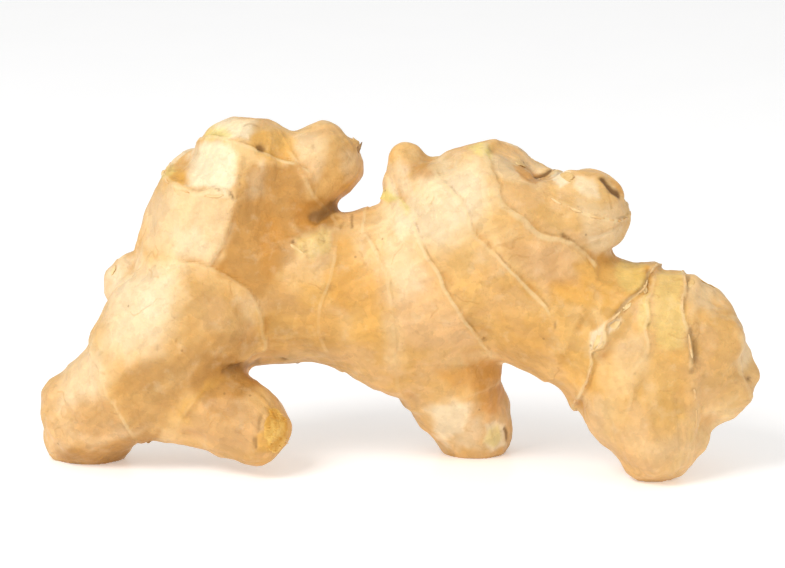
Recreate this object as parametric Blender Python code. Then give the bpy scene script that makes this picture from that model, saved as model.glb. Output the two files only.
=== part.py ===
"""Fresh ginger root: one hand of rhizome fingers that grew together, so one closed solid.

Metres, +Z up. The root lies as it rests on a worktop: +X runs along its length, -Y is its front side, and the
origin is on the worktop under the middle of its outline. Sizes in the tables below are millimetres.

Every finger is a loft through a few hand-placed sections. The lofts are fused into one skin, the growth rings are
raised from that skin by a formula, bud scars are dished into it, and its three feet are cut flat.
"""

import math
from typing import NamedTuple

import bmesh
import bpy
import numpy as np
from mathutils import Vector, noise

MM = 0.001
SKIN_VOXEL = 0.62 * MM
FILLET_PASSES = 80
FILLET_STRENGTH = 0.5
TRIANGLES = 11600
SECTION_SIDES = 28
STEPS_PER_SPAN = 5
DOME_STEPS = 6
DOME_LENGTH = 0.78
DOME_BLUNTNESS = 0.82

RING_FADE = 3.4
RING_STEP = 1.1
RING_GROOVE = 0.4
RING_GROOVE_WIDTH = 1.3
RING_WAVE = 0.9
RING_WAVE_LENGTH = 9.0
RING_WAVE_SEED = 1.7
RING_OVERREACH = 0.12
UNEVEN_HEIGHT = 0.45
UNEVEN_LENGTH = 11.0
UNEVEN_SEED = 4.3
BUD_TAPER = 1.3

SKIN_COLOUR = (0.80, 0.56, 0.27, 1.0)
SKIN_ROUGHNESS = 0.55


class Section(NamedTuple):
    """One section of a finger: its centre, its half width across the finger, and its half depth along Y."""

    x: float
    y: float
    z: float
    wide: float
    deep: float


class Ring(NamedTuple):
    """A growth ring: a point on the finger's axis, the way the finger grows there, and how far out it reaches.

    turn is degrees from +X towards +Z, away is degrees towards +Y, and rise is the height of its rim.
    """

    x: float
    y: float
    z: float
    turn: float
    away: float
    reach: float
    rise: float


class Scar(NamedTuple):
    """A round dish sunk into the skin: its middle on the skin, its radius and its depth."""

    x: float
    y: float
    z: float
    radius: float
    depth: float


class Bud(NamedTuple):
    """A pointed bud raised from the skin: its middle on the skin, its radius and its height."""

    x: float
    y: float
    z: float
    radius: float
    height: float


FINGERS = {
    "left_lobe": [
        Section(-65.9, 3.4, 9.8, 11.1, 9.6),
        Section(-60.0, 1.5, 14.4, 11.5, 11.0),
        Section(-54.1, 0.0, 19.6, 13.6, 12.7),
        Section(-47.0, -0.5, 27.5, 16.2, 13.8),
        Section(-42.3, -1.0, 32.6, 15.2, 12.8),
    ],
    "left_heel": [
        Section(-64.0, 5.5, 6.8, 9.0, 7.6),
        Section(-68.2, 6.5, 3.6, 8.4, 6.6),
    ],
    "tower": [
        Section(-40.5, 6.0, 34.2, 14.8, 12.4),
        Section(-39.2, 5.0, 46.1, 15.8, 12.9),
        Section(-37.0, 5.0, 53.6, 14.3, 12.2),
        Section(-32.2, 6.0, 60.4, 11.2, 10.8),
        Section(-31.8, 6.0, 64.5, 10.9, 9.6),
    ],
    "upper_finger": [
        Section(-30.0, 6.0, 53.0, 8.8, 9.3),
        Section(-21.2, 7.0, 59.4, 9.3, 9.3),
        Section(-14.8, 8.0, 64.2, 8.3, 8.6),
    ],
    "saddle": [
        Section(-38.0, 5.0, 34.0, 14.5, 12.8),
        Section(-27.0, 4.0, 37.2, 16.6, 13.0),
        Section(-17.0, 3.5, 37.7, 16.0, 13.0),
        Section(-8.5, 3.0, 36.6, 17.4, 13.5),
        Section(0.2, 2.0, 34.8, 20.2, 13.8),
    ],
    "saddle_web": [
        Section(-34.5, 2.5, 47.0, 8.5, 9.0),
        Section(-26.5, 2.0, 41.5, 10.0, 10.8),
        Section(-19.0, 2.0, 40.0, 9.0, 10.5),
    ],
    "main_body": [
        Section(-7.0, 3.0, 36.0, 16.8, 13.3),
        Section(0.2, 2.0, 36.8, 19.7, 14.3),
        Section(8.6, 1.0, 41.4, 17.2, 15.3),
        Section(18.9, 0.0, 49.3, 20.2, 15.3),
        Section(30.5, -1.0, 51.6, 13.2, 12.8),
        Section(36.2, -1.8, 53.4, 10.3, 10.1),
        Section(40.0, -2.2, 55.0, 8.9, 9.2),
    ],
    "crest_bud": [
        Section(4.2, 4.0, 54.9, 5.6, 8.0),
        Section(2.2, 4.0, 61.5, 5.3, 6.0),
        Section(1.0, 4.0, 65.6, 3.6, 4.2),
    ],
    "middle_stub": [
        Section(9.0, 4.0, 23.0, 12.2, 11.0),
        Section(11.4, 7.0, 14.4, 10.4, 10.2),
        Section(14.8, 10.0, 8.4, 9.1, 9.2),
        Section(16.4, 11.5, 3.2, 8.3, 7.9),
    ],
    "left_stub": [
        Section(-47.0, -1.0, 14.4, 9.2, 9.2),
        Section(-38.5, -3.8, 13.0, 9.2, 8.7),
        Section(-32.2, -6.9, 11.0, 8.8, 8.4),
        Section(-29.4, -8.1, 9.0, 7.7, 7.8),
    ],
    "right_neck": [
        Section(23.2, 0.0, 37.6, 13.9, 12.6),
        Section(33.6, -1.0, 33.5, 14.7, 13.0),
        Section(43.0, -2.0, 29.4, 15.2, 13.3),
        Section(50.3, -3.0, 26.2, 17.0, 13.8),
    ],
    "right_lobe": [
        Section(46.2, -3.0, 26.5, 17.1, 13.3),
        Section(54.3, -4.0, 26.5, 16.4, 14.3),
        Section(59.1, -5.0, 26.0, 15.2, 12.8),
    ],
    "right_tip": [
        Section(57.5, -5.0, 23.5, 12.8, 12.0),
        Section(63.3, -5.0, 20.6, 11.0, 10.2),
        Section(67.0, -5.0, 18.4, 8.4, 8.2),
    ],
    "right_foot": [
        Section(49.3, -6.0, 21.8, 14.2, 12.2),
        Section(51.3, -8.0, 14.9, 12.8, 12.2),
        Section(52.8, -11.0, 9.8, 10.7, 10.7),
        Section(53.4, -12.6, 6.4, 8.2, 8.6),
    ],
    "foot_bud": [
        Section(56.0, -9.0, 11.0, 6.0, 6.0),
        Section(60.8, -9.0, 8.0, 4.8, 5.0),
    ],
    "left_nub": [
        Section(-52.5, 7.0, 35.6, 8.6, 7.0),
        Section(-57.6, 8.6, 37.8, 6.3, 5.8),
    ],
    "back_knob": [
        Section(18.0, 6.0, 42.0, 10.0, 10.0),
        Section(21.0, 14.0, 41.0, 9.0, 8.5),
    ],
    "back_tower_nub": [
        Section(-40.0, 11.0, 50.0, 7.5, 7.5),
        Section(-41.0, 17.5, 51.5, 5.6, 5.6),
    ],
    "back_neck_nub": [
        Section(38.0, 8.0, 32.0, 7.5, 7.5),
        Section(40.5, 15.0, 33.0, 5.8, 5.8),
    ],
}

RINGS = [
    Ring(-59.2, 0.0, 16.5, 206.0, 12.0, 13.5, 0.6),
    Ring(-41.5, 3.0, 62.0, 88.0, -17.0, 12.5, 0.9),
    Ring(-32.0, 6.0, 62.8, 59.0, 36.0, 15.0, 0.6),
    Ring(-19.0, 7.0, 60.7, 33.0, 0.0, 9.8, 0.5),
    Ring(-14.4, 3.0, 36.9, 8.0, 0.0, 17.0, 0.3),
    Ring(-2.9, 2.0, 35.0, 9.7, 0.0, 19.5, 0.6),
    Ring(8.4, 1.0, 43.0, 31.0, 0.0, 20.5, 0.7),
    Ring(20.5, 0.0, 48.0, 40.0, -8.0, 20.0, 0.7),
    Ring(31.0, -1.0, 56.9, 49.0, -26.0, 17.0, 0.7),
    Ring(39.0, -2.0, 58.7, 68.0, -10.0, 10.5, 0.4),
    Ring(36.1, -1.0, 31.8, -24.0, 0.0, 15.0, 0.4),
    Ring(46.0, -2.0, 27.9, -29.5, -17.5, 18.0, 0.6),
    Ring(49.0, -4.0, 27.0, -18.0, 6.0, 18.5, 0.4),
    Ring(61.4, -5.0, 26.0, 1.0, -6.0, 17.0, 0.9),
    Ring(70.5, -5.0, 25.0, 18.0, 0.0, 10.0, 0.4),
    Ring(11.7, 7.0, 14.7, -72.0, 0.0, 11.5, 0.4),
    Ring(-39.5, -3.0, 14.1, -38.0, -25.0, 9.5, 0.6),
]

SCARS = [
    Scar(-25.0, -12.0, 10.2, 4.6, 0.9),
    Scar(29.5, -1.0, 63.5, 4.6, 1.5),
    Scar(43.6, -4.0, 60.6, 2.8, 1.2),
    Scar(5.6, 2.5, 64.0, 2.8, 0.9),
    Scar(-28.6, -3.0, 68.1, 2.2, 0.8),
    Scar(21.5, 4.0, 6.5, 2.8, 0.7),
]

BUDS = [
    Bud(35.5, -3.0, 63.0, 3.6, 0.9),
    Bud(74.0, -7.0, 21.0, 3.4, 1.6),
    Bud(-9.5, 8.0, 67.0, 2.4, 2.2),
    Bud(-62.0, 9.0, 40.0, 3.0, 1.0),
    Bud(-33.5, 5.0, 72.5, 3.2, 0.5),
    Bud(20.5, 21.5, 41.0, 4.0, 1.3),
    Bud(-41.0, 22.5, 51.5, 3.4, 1.2),
    Bud(40.5, 20.0, 33.0, 3.4, 1.0),
    Bud(63.0, -12.0, 7.0, 2.6, 0.8),
]


def clear_scene() -> None:
    """Empties the scene that the script was opened in."""
    for existing in list(bpy.data.objects):
        bpy.data.objects.remove(existing, do_unlink=True)


def smooth_sections(sections: list) -> np.ndarray:
    """Rows of x, y, z, wide and deep along a smooth curve through a finger's sections."""
    rows = np.array(sections, float)
    ends = np.vstack([2 * rows[0] - rows[1], rows, 2 * rows[-1] - rows[-2]])
    path = []
    for before, start, end, after in zip(ends, ends[1:], ends[2:], ends[3:]):
        for step in range(STEPS_PER_SPAN):
            t = step / STEPS_PER_SPAN
            path.append(
                0.5 * (
                    2 * start
                    + (end - before) * t
                    + (2 * before - 5 * start + 4 * end - after) * t**2
                    + (3 * start - before - 3 * end + after) * t**3
                )
            )
    path.append(rows[-1])
    return np.array(path)


def loft_finger(mesh: bmesh.types.BMesh, sections: list) -> None:
    """Adds one finger to the mesh: its sections bridged, with a dome on both ends."""
    path = smooth_sections(sections)
    centres = path[:, :3]
    runs = np.gradient(centres, axis=0)
    runs /= np.linalg.norm(runs, axis=1)[:, None]
    angles = [math.radians(90 * step / DOME_STEPS) for step in range(DOME_STEPS - 1, 0, -1)]
    dome = [(math.sin(a) ** DOME_BLUNTNESS, math.cos(a) ** DOME_BLUNTNESS) for a in angles]
    stations = [(0, -along, scale) for along, scale in dome]
    stations += [(i, 0.0, 1.0) for i in range(len(path))]
    stations += [(len(path) - 1, along, scale) for along, scale in reversed(dome)]
    loops = []
    for index, along, scale in stations:
        run = runs[index]
        depth = np.array((0.0, 1.0, 0.0)) - run[1] * run
        depth /= np.linalg.norm(depth)
        across = np.cross(depth, run)
        wide, deep = path[index, 3] * scale, path[index, 4] * scale
        middle = centres[index] + run * along * DOME_LENGTH * path[index, 3]
        loop = []
        for side in range(SECTION_SIDES):
            angle = math.tau * side / SECTION_SIDES
            point = middle + across * wide * math.cos(angle) + depth * deep * math.sin(angle)
            loop.append(mesh.verts.new(point * MM))
        loops.append(loop)
    for lower, upper in zip(loops, loops[1:]):
        for side in range(SECTION_SIDES):
            after = (side + 1) % SECTION_SIDES
            mesh.faces.new((lower[side], lower[after], upper[after], upper[side]))
    mesh.faces.new(reversed(loops[0]))
    mesh.faces.new(loops[-1])


def applied(root: bpy.types.Object) -> None:
    """Makes what the root's modifiers give its own mesh, and removes them."""
    graph = bpy.context.evaluated_depsgraph_get()
    made = bpy.data.meshes.new_from_object(root.evaluated_get(graph))
    root.modifiers.clear()
    root.data = made


def bodies(mesh: bmesh.types.BMesh) -> list:
    """The vertices of each separate closed skin in the mesh."""
    left, found = set(mesh.verts), []
    while left:
        edge = [left.pop()]
        body = list(edge)
        while edge:
            vertex = edge.pop()
            for link in vertex.link_edges:
                other = link.other_vert(vertex)
                if other in left:
                    left.remove(other)
                    body.append(other)
                    edge.append(other)
        found.append(body)
    return found


def drop_crumbs(root: bpy.types.Object) -> None:
    """Removes the crumbs that fusing leaves where a tightly bent loft crosses itself."""
    mesh = bmesh.new()
    mesh.from_mesh(root.data)
    by_size = sorted(bodies(mesh), key=len)
    for crumb in by_size[:-1]:
        bmesh.ops.delete(mesh, geom=crumb, context="VERTS")
    mesh.to_mesh(root.data)
    mesh.free()


def fused_fingers() -> bpy.types.Object:
    """The fingers as one skin, with rounded joins between them."""
    mesh = bmesh.new()
    for sections in FINGERS.values():
        loft_finger(mesh, sections)
    bmesh.ops.recalc_face_normals(mesh, faces=mesh.faces)
    data = bpy.data.meshes.new("ginger_root")
    mesh.to_mesh(data)
    mesh.free()
    root = bpy.data.objects.new("ginger_root", data)
    bpy.context.scene.collection.objects.link(root)
    skin = root.modifiers.new("One skin", "REMESH")
    skin.mode = "VOXEL"
    skin.voxel_size = SKIN_VOXEL
    rounding = root.modifiers.new("Rounded joins", "SMOOTH")
    rounding.factor = FILLET_STRENGTH
    rounding.iterations = FILLET_PASSES
    applied(root)
    drop_crumbs(root)
    return root


def noise_at(points: np.ndarray, length: float, seed: float) -> np.ndarray:
    """Smooth noise from -1 to 1 at each point, with features of about that length."""
    shift = Vector((seed, 2 * seed, 3 * seed))
    return np.array([noise.noise(Vector(point) / length + shift) for point in points])


def growth_way(ring: Ring) -> np.ndarray:
    """The unit vector along which the finger grows through a ring."""
    turn, away = math.radians(ring.turn), math.radians(ring.away)
    return np.array((math.cos(turn) * math.cos(away), math.sin(away), math.sin(turn) * math.cos(away)))


def ring_relief(points: np.ndarray, ring: Ring, wave: np.ndarray) -> np.ndarray:
    """How far a ring lifts each point: a slope up to its rim, then a step down into a narrow groove."""
    way = growth_way(ring)
    from_middle = points - np.array((ring.x, ring.y, ring.z))
    along = from_middle @ way
    out = np.linalg.norm(from_middle - along[:, None] * way, axis=1)
    overreach = ring.reach * RING_OVERREACH
    held = np.clip((ring.reach + overreach - out) / overreach, 0, 1)
    along = along + RING_WAVE * wave
    slope = ring.rise * np.exp(np.minimum(along, 0) / RING_FADE)
    fall = 0.5 - 0.5 * np.cos(math.pi * np.clip(along / RING_STEP, 0, 1))
    groove = -RING_GROOVE * ring.rise * np.exp(-np.maximum(along - RING_STEP, 0) / RING_GROOVE_WIDTH)
    return held * (slope * (1 - fall) + groove * fall)


def nearness(points: np.ndarray, spot: Scar | Bud) -> np.ndarray:
    """One at the middle of a scar or bud, falling to zero at its radius."""
    away = np.linalg.norm(points - np.array((spot.x, spot.y, spot.z)), axis=1)
    return np.clip(1 - away / spot.radius, 0, 1)


def scar_relief(points: np.ndarray, scar: Scar) -> np.ndarray:
    """How far a scar sinks each point: a round-bottomed dish."""
    near = nearness(points, scar)
    return -scar.depth * near * (2 - near)


def bud_relief(points: np.ndarray, bud: Bud) -> np.ndarray:
    """How far a bud lifts each point: a hollow-sided cone."""
    return bud.height * nearness(points, bud) ** BUD_TAPER


def raise_relief(root: bpy.types.Object) -> None:
    """Lifts the growth rings and buds, sinks the scars and makes the skin a little uneven."""
    data = root.data
    count = len(data.vertices)
    points, normals = np.empty(count * 3), np.empty(count * 3, np.float32)
    data.vertices.foreach_get("co", points)
    data.vertex_normals.foreach_get("vector", normals)
    points, normals = points.reshape(-1, 3) / MM, normals.reshape(-1, 3)
    wave = noise_at(points, RING_WAVE_LENGTH, RING_WAVE_SEED)
    lift = UNEVEN_HEIGHT * noise_at(points, UNEVEN_LENGTH, UNEVEN_SEED)
    for ring in RINGS:
        lift += ring_relief(points, ring, wave)
    for scar in SCARS:
        lift += scar_relief(points, scar)
    for bud in BUDS:
        lift += bud_relief(points, bud)
    data.vertices.foreach_set("co", ((points + normals * lift[:, None]) * MM).ravel())
    data.update()


def lighten(root: bpy.types.Object) -> None:
    """Collapses the skin to the triangles that its form needs."""
    data = root.data
    data.calc_loop_triangles()
    fewer = root.modifiers.new("Fewer triangles", "DECIMATE")
    fewer.ratio = TRIANGLES / len(data.loop_triangles)
    fewer.use_collapse_triangulate = True
    applied(root)


def cut_feet(root: bpy.types.Object) -> None:
    """Cuts the root flat on the worktop and sets its origin under the middle of its outline."""
    mesh = bmesh.new()
    mesh.from_mesh(root.data)
    whole = mesh.verts[:] + mesh.edges[:] + mesh.faces[:]
    cut = bmesh.ops.bisect_plane(mesh, geom=whole, plane_co=(0, 0, 0), plane_no=(0, 0, -1), clear_outer=True)
    rims = [part for part in cut["geom_cut"] if isinstance(part, bmesh.types.BMEdge)]
    bmesh.ops.holes_fill(mesh, edges=rims, sides=0)
    xs = [vertex.co.x for vertex in mesh.verts]
    ys = [vertex.co.y for vertex in mesh.verts]
    middle = Vector(((min(xs) + max(xs)) / 2, (min(ys) + max(ys)) / 2, 0))
    bmesh.ops.translate(mesh, verts=mesh.verts, vec=-middle)
    mesh.to_mesh(root.data)
    mesh.free()


def skin_material() -> bpy.types.Material:
    """The pale tan skin of a fresh root."""
    material = bpy.data.materials.new("ginger_skin")
    material.use_nodes = True
    shader = material.node_tree.nodes["Principled BSDF"]
    shader.inputs["Base Color"].default_value = SKIN_COLOUR
    shader.inputs["Roughness"].default_value = SKIN_ROUGHNESS
    shader.inputs["Metallic"].default_value = 0.0
    return material


def main() -> None:
    """Builds the root."""
    clear_scene()
    root = fused_fingers()
    raise_relief(root)
    lighten(root)
    cut_feet(root)
    root.data.shade_smooth()
    root.data.materials.append(skin_material())


if __name__ == "__main__":
    main()
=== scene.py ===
"""The looks of a fresh ginger root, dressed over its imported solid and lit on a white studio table.

The frame is the solid's own: metres, +Z up, +X along the root, -Y its front side. Sizes in the tables
below are millimetres in that frame. A mark on the front is placed by the column and row where it is
seen in the main view, 785 wide and 568 high, and it is then cast on to the skin, so it lies on the root
from any side.
"""

import logging
import math
import random
from collections.abc import Callable, Iterator
from contextlib import contextmanager
from dataclasses import dataclass, field
from enum import Enum

import bmesh
import bpy
import numpy as np
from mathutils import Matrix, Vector, noise
from mathutils.bvhtree import BVHTree


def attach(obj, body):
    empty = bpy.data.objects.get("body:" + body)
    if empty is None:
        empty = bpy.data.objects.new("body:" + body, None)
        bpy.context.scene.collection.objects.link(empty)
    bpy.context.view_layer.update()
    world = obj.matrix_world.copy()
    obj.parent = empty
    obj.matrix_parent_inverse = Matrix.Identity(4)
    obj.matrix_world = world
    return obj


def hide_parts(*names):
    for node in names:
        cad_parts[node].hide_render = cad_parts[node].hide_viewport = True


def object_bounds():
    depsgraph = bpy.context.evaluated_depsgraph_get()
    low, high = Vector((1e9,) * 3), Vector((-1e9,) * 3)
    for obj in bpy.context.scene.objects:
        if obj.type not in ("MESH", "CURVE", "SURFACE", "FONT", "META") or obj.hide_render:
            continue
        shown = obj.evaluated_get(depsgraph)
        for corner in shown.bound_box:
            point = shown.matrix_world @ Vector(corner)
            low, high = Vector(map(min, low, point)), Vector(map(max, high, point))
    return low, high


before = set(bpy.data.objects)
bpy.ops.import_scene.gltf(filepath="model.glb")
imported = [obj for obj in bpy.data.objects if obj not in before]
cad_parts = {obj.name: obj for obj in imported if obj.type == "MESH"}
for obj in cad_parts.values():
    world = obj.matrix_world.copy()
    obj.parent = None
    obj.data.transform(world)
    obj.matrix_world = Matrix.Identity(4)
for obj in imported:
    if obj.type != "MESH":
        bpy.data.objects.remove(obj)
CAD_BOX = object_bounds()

MM = 0.001
FAR = 99.0  # farther than anything on the root, in millimetres or pixels
TINY = 1e-9  # keeps a division away from zero
NODE = "ginger_root"
BODY = "root"
LOG = logging.getLogger("ginger")

Piece = bpy.types.Object
Socket = bpy.types.NodeSocket
Colour = tuple[float, float, float]
Place = tuple[float, float, float]
Span = tuple[float, float]
Trace = tuple[Span, ...]


class Slot(Enum):
    """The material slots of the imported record."""

    SKIN = "skin"
    DRY_SKIN = "dry_skin"
    FLESH = "flesh"
    BUD = "bud"


class StainAndShading(Enum):
    """What a patch on the skin is tinted with. Cream is partly a painted highlight, and tan, orange and
    brown are partly painted shade. Each is one attribute of the skin's mesh.
    """

    CREAM_AND_HIGHLIGHT = "cream"
    ROSE = "rose"
    GOLD = "gold"
    ORANGE_AND_SHADE = "orange"
    TAN = "tan"
    GREEN = "green"
    BROWN = "brown"
    WORN = "worn"


# Tools that shape and dress a piece


def pick(piece: Piece) -> None:
    """Makes a piece the only selected object, and the active one.

    Args:
        piece: The piece.
    """
    bpy.ops.object.select_all(action="DESELECT")
    piece.select_set(True)
    bpy.context.view_layer.objects.active = piece


def started(add: Callable[..., set[str]], **settings: object) -> Piece:
    """Adds a primitive to start a piece from, with nothing else selected.

    Args:
        add: The operator that adds it.
        settings: Its place and sizes.

    Returns:
        The new object.
    """
    bpy.ops.object.select_all(action="DESELECT")
    add(**settings)
    return bpy.context.active_object


@contextmanager
def edit_mode(select: str = "SELECT") -> Iterator[None]:
    """Opens the active piece for editing and closes it again.

    Args:
        select: SELECT for all of its mesh, DESELECT for none, or nothing to leave the selection alone.
    """
    bpy.ops.object.mode_set(mode="EDIT")
    if select:
        bpy.ops.mesh.select_all(action=select)
    yield
    bpy.ops.object.mode_set(mode="OBJECT")


def merge_doubles(piece: Piece, distance: float) -> None:
    """Merges the vertices that lie close together.

    Args:
        piece: The piece.
        distance: How close, in millimetres.
    """
    pick(piece)
    with edit_mode():
        bpy.ops.mesh.remove_doubles(threshold=distance * MM)


def apply_modifier(piece: Piece, kind: str, **settings: object) -> None:
    """Gives a piece one modifier and applies it.

    Args:
        piece: The object to change.
        kind: The modifier's type, in Blender's words.
        settings: Values for the modifier's own fields.
    """
    pick(piece)
    modifier = piece.modifiers.new(kind.title(), kind)
    for name, value in settings.items():
        setattr(modifier, name, value)
    bpy.ops.object.modifier_apply(modifier=modifier.name)


def points_of(piece: Piece) -> np.ndarray:
    """The places of a piece's vertices.

    Args:
        piece: The piece.

    Returns:
        Rows of x, y, z in millimetres.
    """
    flat = np.empty(len(piece.data.vertices) * 3, np.float32)
    piece.data.vertices.foreach_get("co", flat)
    return flat.reshape(-1, 3).astype(float) / MM


def normals_of(piece: Piece) -> np.ndarray:
    """The normals at a piece's vertices.

    Args:
        piece: The piece.

    Returns:
        Rows of x, y, z.
    """
    flat = np.empty(len(piece.data.vertices) * 3, np.float32)
    piece.data.vertex_normals.foreach_get("vector", flat)
    return flat.reshape(-1, 3).astype(float)


def move_points(piece: Piece, points: np.ndarray) -> None:
    """Puts the piece's vertices at these places, given in millimetres."""
    piece.data.vertices.foreach_set("co", (points * MM).astype(np.float32).ravel())
    piece.data.update()


def noise_at(points: np.ndarray, size: float, seed: float) -> np.ndarray:
    """Smooth noise from about -1 to 1.

    Args:
        points: Rows of x, y, z in millimetres.
        size: The length of its features in millimetres.
        seed: Any number, and another one gives other noise.

    Returns:
        One value for each row.
    """
    shifted = points / size + np.array((seed, 2 * seed, 3 * seed))
    return np.array([noise.noise(Vector(point)) for point in shifted])


def smooth_step(value: np.ndarray, low: float, high: float) -> np.ndarray:
    """Zero below low and one above high, with a smooth rise between them."""
    share = np.clip((value - low) / (high - low), 0, 1)
    return share * share * (3 - 2 * share)


def smooth_run(corners: np.ndarray, spacing: float) -> np.ndarray:
    """Points along a smooth curve through some corners.

    Args:
        corners: Rows of coordinates.
        spacing: About how far apart the points are.

    Returns:
        Rows of coordinates, from the first corner to the last.
    """
    ends = np.vstack([2 * corners[0] - corners[1], corners, 2 * corners[-1] - corners[-2]])
    run = []
    for before, start, end, after in zip(ends, ends[1:], ends[2:], ends[3:]):
        steps = max(1, round(float(np.linalg.norm(end - start)) / spacing))
        for share in np.arange(steps) / steps:
            bend = (end - before) * share
            bend = bend + (2 * before - 5 * start + 4 * end - after) * share**2
            bend = bend + (3 * start - before - 3 * end + after) * share**3
            run.append(start + 0.5 * bend)
    run.append(corners[-1])
    return np.array(run)


def dress(piece: Piece, material: bpy.types.Material) -> None:
    """Gives a finished piece its only material and its place on the root.

    Args:
        piece: The object, at the origin, with its place in its mesh.
        material: What it is made of.
    """
    piece.data.materials.clear()
    piece.data.materials.append(material)
    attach(piece, BODY)
    LOG.info("%s: %d faces", piece.name, len(piece.data.polygons))


# The main view


@dataclass(frozen=True)
class MainView:
    """Where the camera stands, and what each column and row of its picture looks at."""

    width: int = 785
    height: int = 568
    focal_length: float = 3590.0
    distance: float = 0.75
    elevation: float = math.radians(12)
    target: Place = (-0.00119, -0.00064, 0.0389)
    sensor: float = 36.0
    clip: Span = (0.01, 20.0)

    def ahead(self) -> Vector:
        """The way that the camera looks."""
        return Vector((0, math.cos(self.elevation), -math.sin(self.elevation)))

    def eye(self) -> Vector:
        """Where the camera stands."""
        return Vector(self.target) - self.ahead() * self.distance

    def sight(self, column: float, row: float) -> Vector:
        """The way from the camera through a point of the picture.

        Args:
            column: Pixels from the picture's left side.
            row: Pixels from its top.

        Returns:
            A unit vector.
        """
        up = Vector((0, math.sin(self.elevation), math.cos(self.elevation)))
        across = Vector((column - self.width / 2, 0, 0))
        return (self.ahead() * self.focal_length + across + up * (self.height / 2 - row)).normalized()

    def picture_of(self, points: np.ndarray) -> tuple[np.ndarray, np.ndarray]:
        """Where points are seen in the picture.

        Args:
            points: Rows of x, y, z in millimetres.

        Returns:
            Their columns and rows.
        """
        ahead = np.array(self.ahead())
        up = np.array((0, math.sin(self.elevation), math.cos(self.elevation)))
        offset = points * MM - np.array(self.eye())
        scale = self.focal_length / (offset @ ahead)
        return self.width / 2 + scale * offset[:, 0], self.height / 2 - scale * (offset @ up)

    def build(self) -> Piece:
        """Stands the camera up and makes it the scene's own.

        Returns:
            The camera.
        """
        data = bpy.data.cameras.new("main_view")
        data.sensor_width = self.sensor
        data.lens = self.focal_length / self.width * self.sensor
        data.clip_start, data.clip_end = self.clip
        camera = bpy.data.objects.new("main_view", data)
        camera.location = self.eye()
        camera.rotation_euler = (math.pi / 2 - self.elevation, 0, 0)
        bpy.context.scene.collection.objects.link(camera)
        bpy.context.scene.camera = camera
        return camera


@dataclass
class Surface:
    """The root's skin as a thing to lay marks and pieces on."""

    tree: BVHTree
    view: MainView

    @classmethod
    def of(cls, piece: Piece, view: MainView) -> "Surface":
        """The surface of a finished piece.

        Args:
            piece: The object.
            view: The main view.

        Returns:
            The surface, in millimetres.
        """
        corners = [Vector(point) for point in points_of(piece)]
        faces = [tuple(face.vertices) for face in piece.data.polygons]
        return cls(BVHTree.FromPolygons(corners, faces), view)

    def seen_at(self, column: float, row: float) -> tuple[Vector, Vector]:
        """What the main view sees at a point of its picture.

        Args:
            column: Pixels from the picture's left side.
            row: Pixels from its top.

        Returns:
            The place on the skin in millimetres, and the skin's normal there. Where the sight line just
            misses the root, it is the nearest place on the skin.
        """
        eye, way = self.view.eye() / MM, self.view.sight(column, row)
        place, normal, _, _ = self.tree.ray_cast(eye, way)
        if place is None:
            place, normal, _, _ = self.tree.find_nearest(eye + way * (self.view.distance / MM))
        return place, normal

    def nearest(self, point: Vector) -> tuple[Vector, Vector]:
        """The nearest place on the skin and its normal, in millimetres."""
        place, normal, _, _ = self.tree.find_nearest(point)
        return place, normal

    def laid(self, trace: Trace, spacing: float = 4.0) -> "Laid":
        """Lays a line of picture points on the skin.

        Args:
            trace: Its corners, in columns and rows of the main view.
            spacing: About how far apart its points are, in pixels.

        Returns:
            The line on the skin.
        """
        run = smooth_run(np.array(trace, float), spacing)
        places, normals = zip(*(self.seen_at(column, row) for column, row in run))
        return Laid(np.array(places), np.array(normals))


@dataclass(frozen=True)
class Laid:
    """A line that lies on the skin: its points in millimetres, and the skin's normals at them."""

    points: np.ndarray
    normals: np.ndarray

    def beside(
        self, places: np.ndarray, taper: float = 2.0, reach: float = 6.0
    ) -> tuple[np.ndarray, np.ndarray]:
        """How far each place lies from the line, and how much of the line there is beside it.

        Args:
            places: Rows of x, y, z in millimetres.
            taper: The length at each end of the line over which it fades out.
            reach: How far from the line places are measured.

        Returns:
            The distance, above zero on the right of the line's run, and a share that is one along the
            line, fades at its ends and is zero out of reach.
        """
        signed, share = np.full(len(places), FAR), np.zeros(len(places))
        low, high = self.points.min(0) - reach, self.points.max(0) + reach
        near = np.flatnonzero(np.all((places > low) & (places < high), axis=1))
        best, side, spent = np.full(len(near), FAR), np.ones(len(near)), np.zeros(len(near))
        run_so_far = 0.0
        for start, end, normal in zip(self.points, self.points[1:], self.normals):
            length = float(np.linalg.norm(end - start)) + TINY
            way = (end - start) / length
            along = np.clip((places[near] - start) @ way, 0, length)
            gap = places[near] - start - along[:, None] * way
            away = np.linalg.norm(gap, axis=1)
            closer = away < best
            best = np.where(closer, away, best)
            side = np.where(closer, np.sign(gap @ np.cross(way, normal)), side)
            spent = np.where(closer, run_so_far + along, spent)
            run_so_far += length
        signed[near] = best * np.where(side == 0, 1.0, side)
        fade = smooth_step(spent, 0, taper) * smooth_step(run_so_far - spent, 0, taper)
        share[near] = fade * (best < reach)
        return signed, share


# Materials


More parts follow.
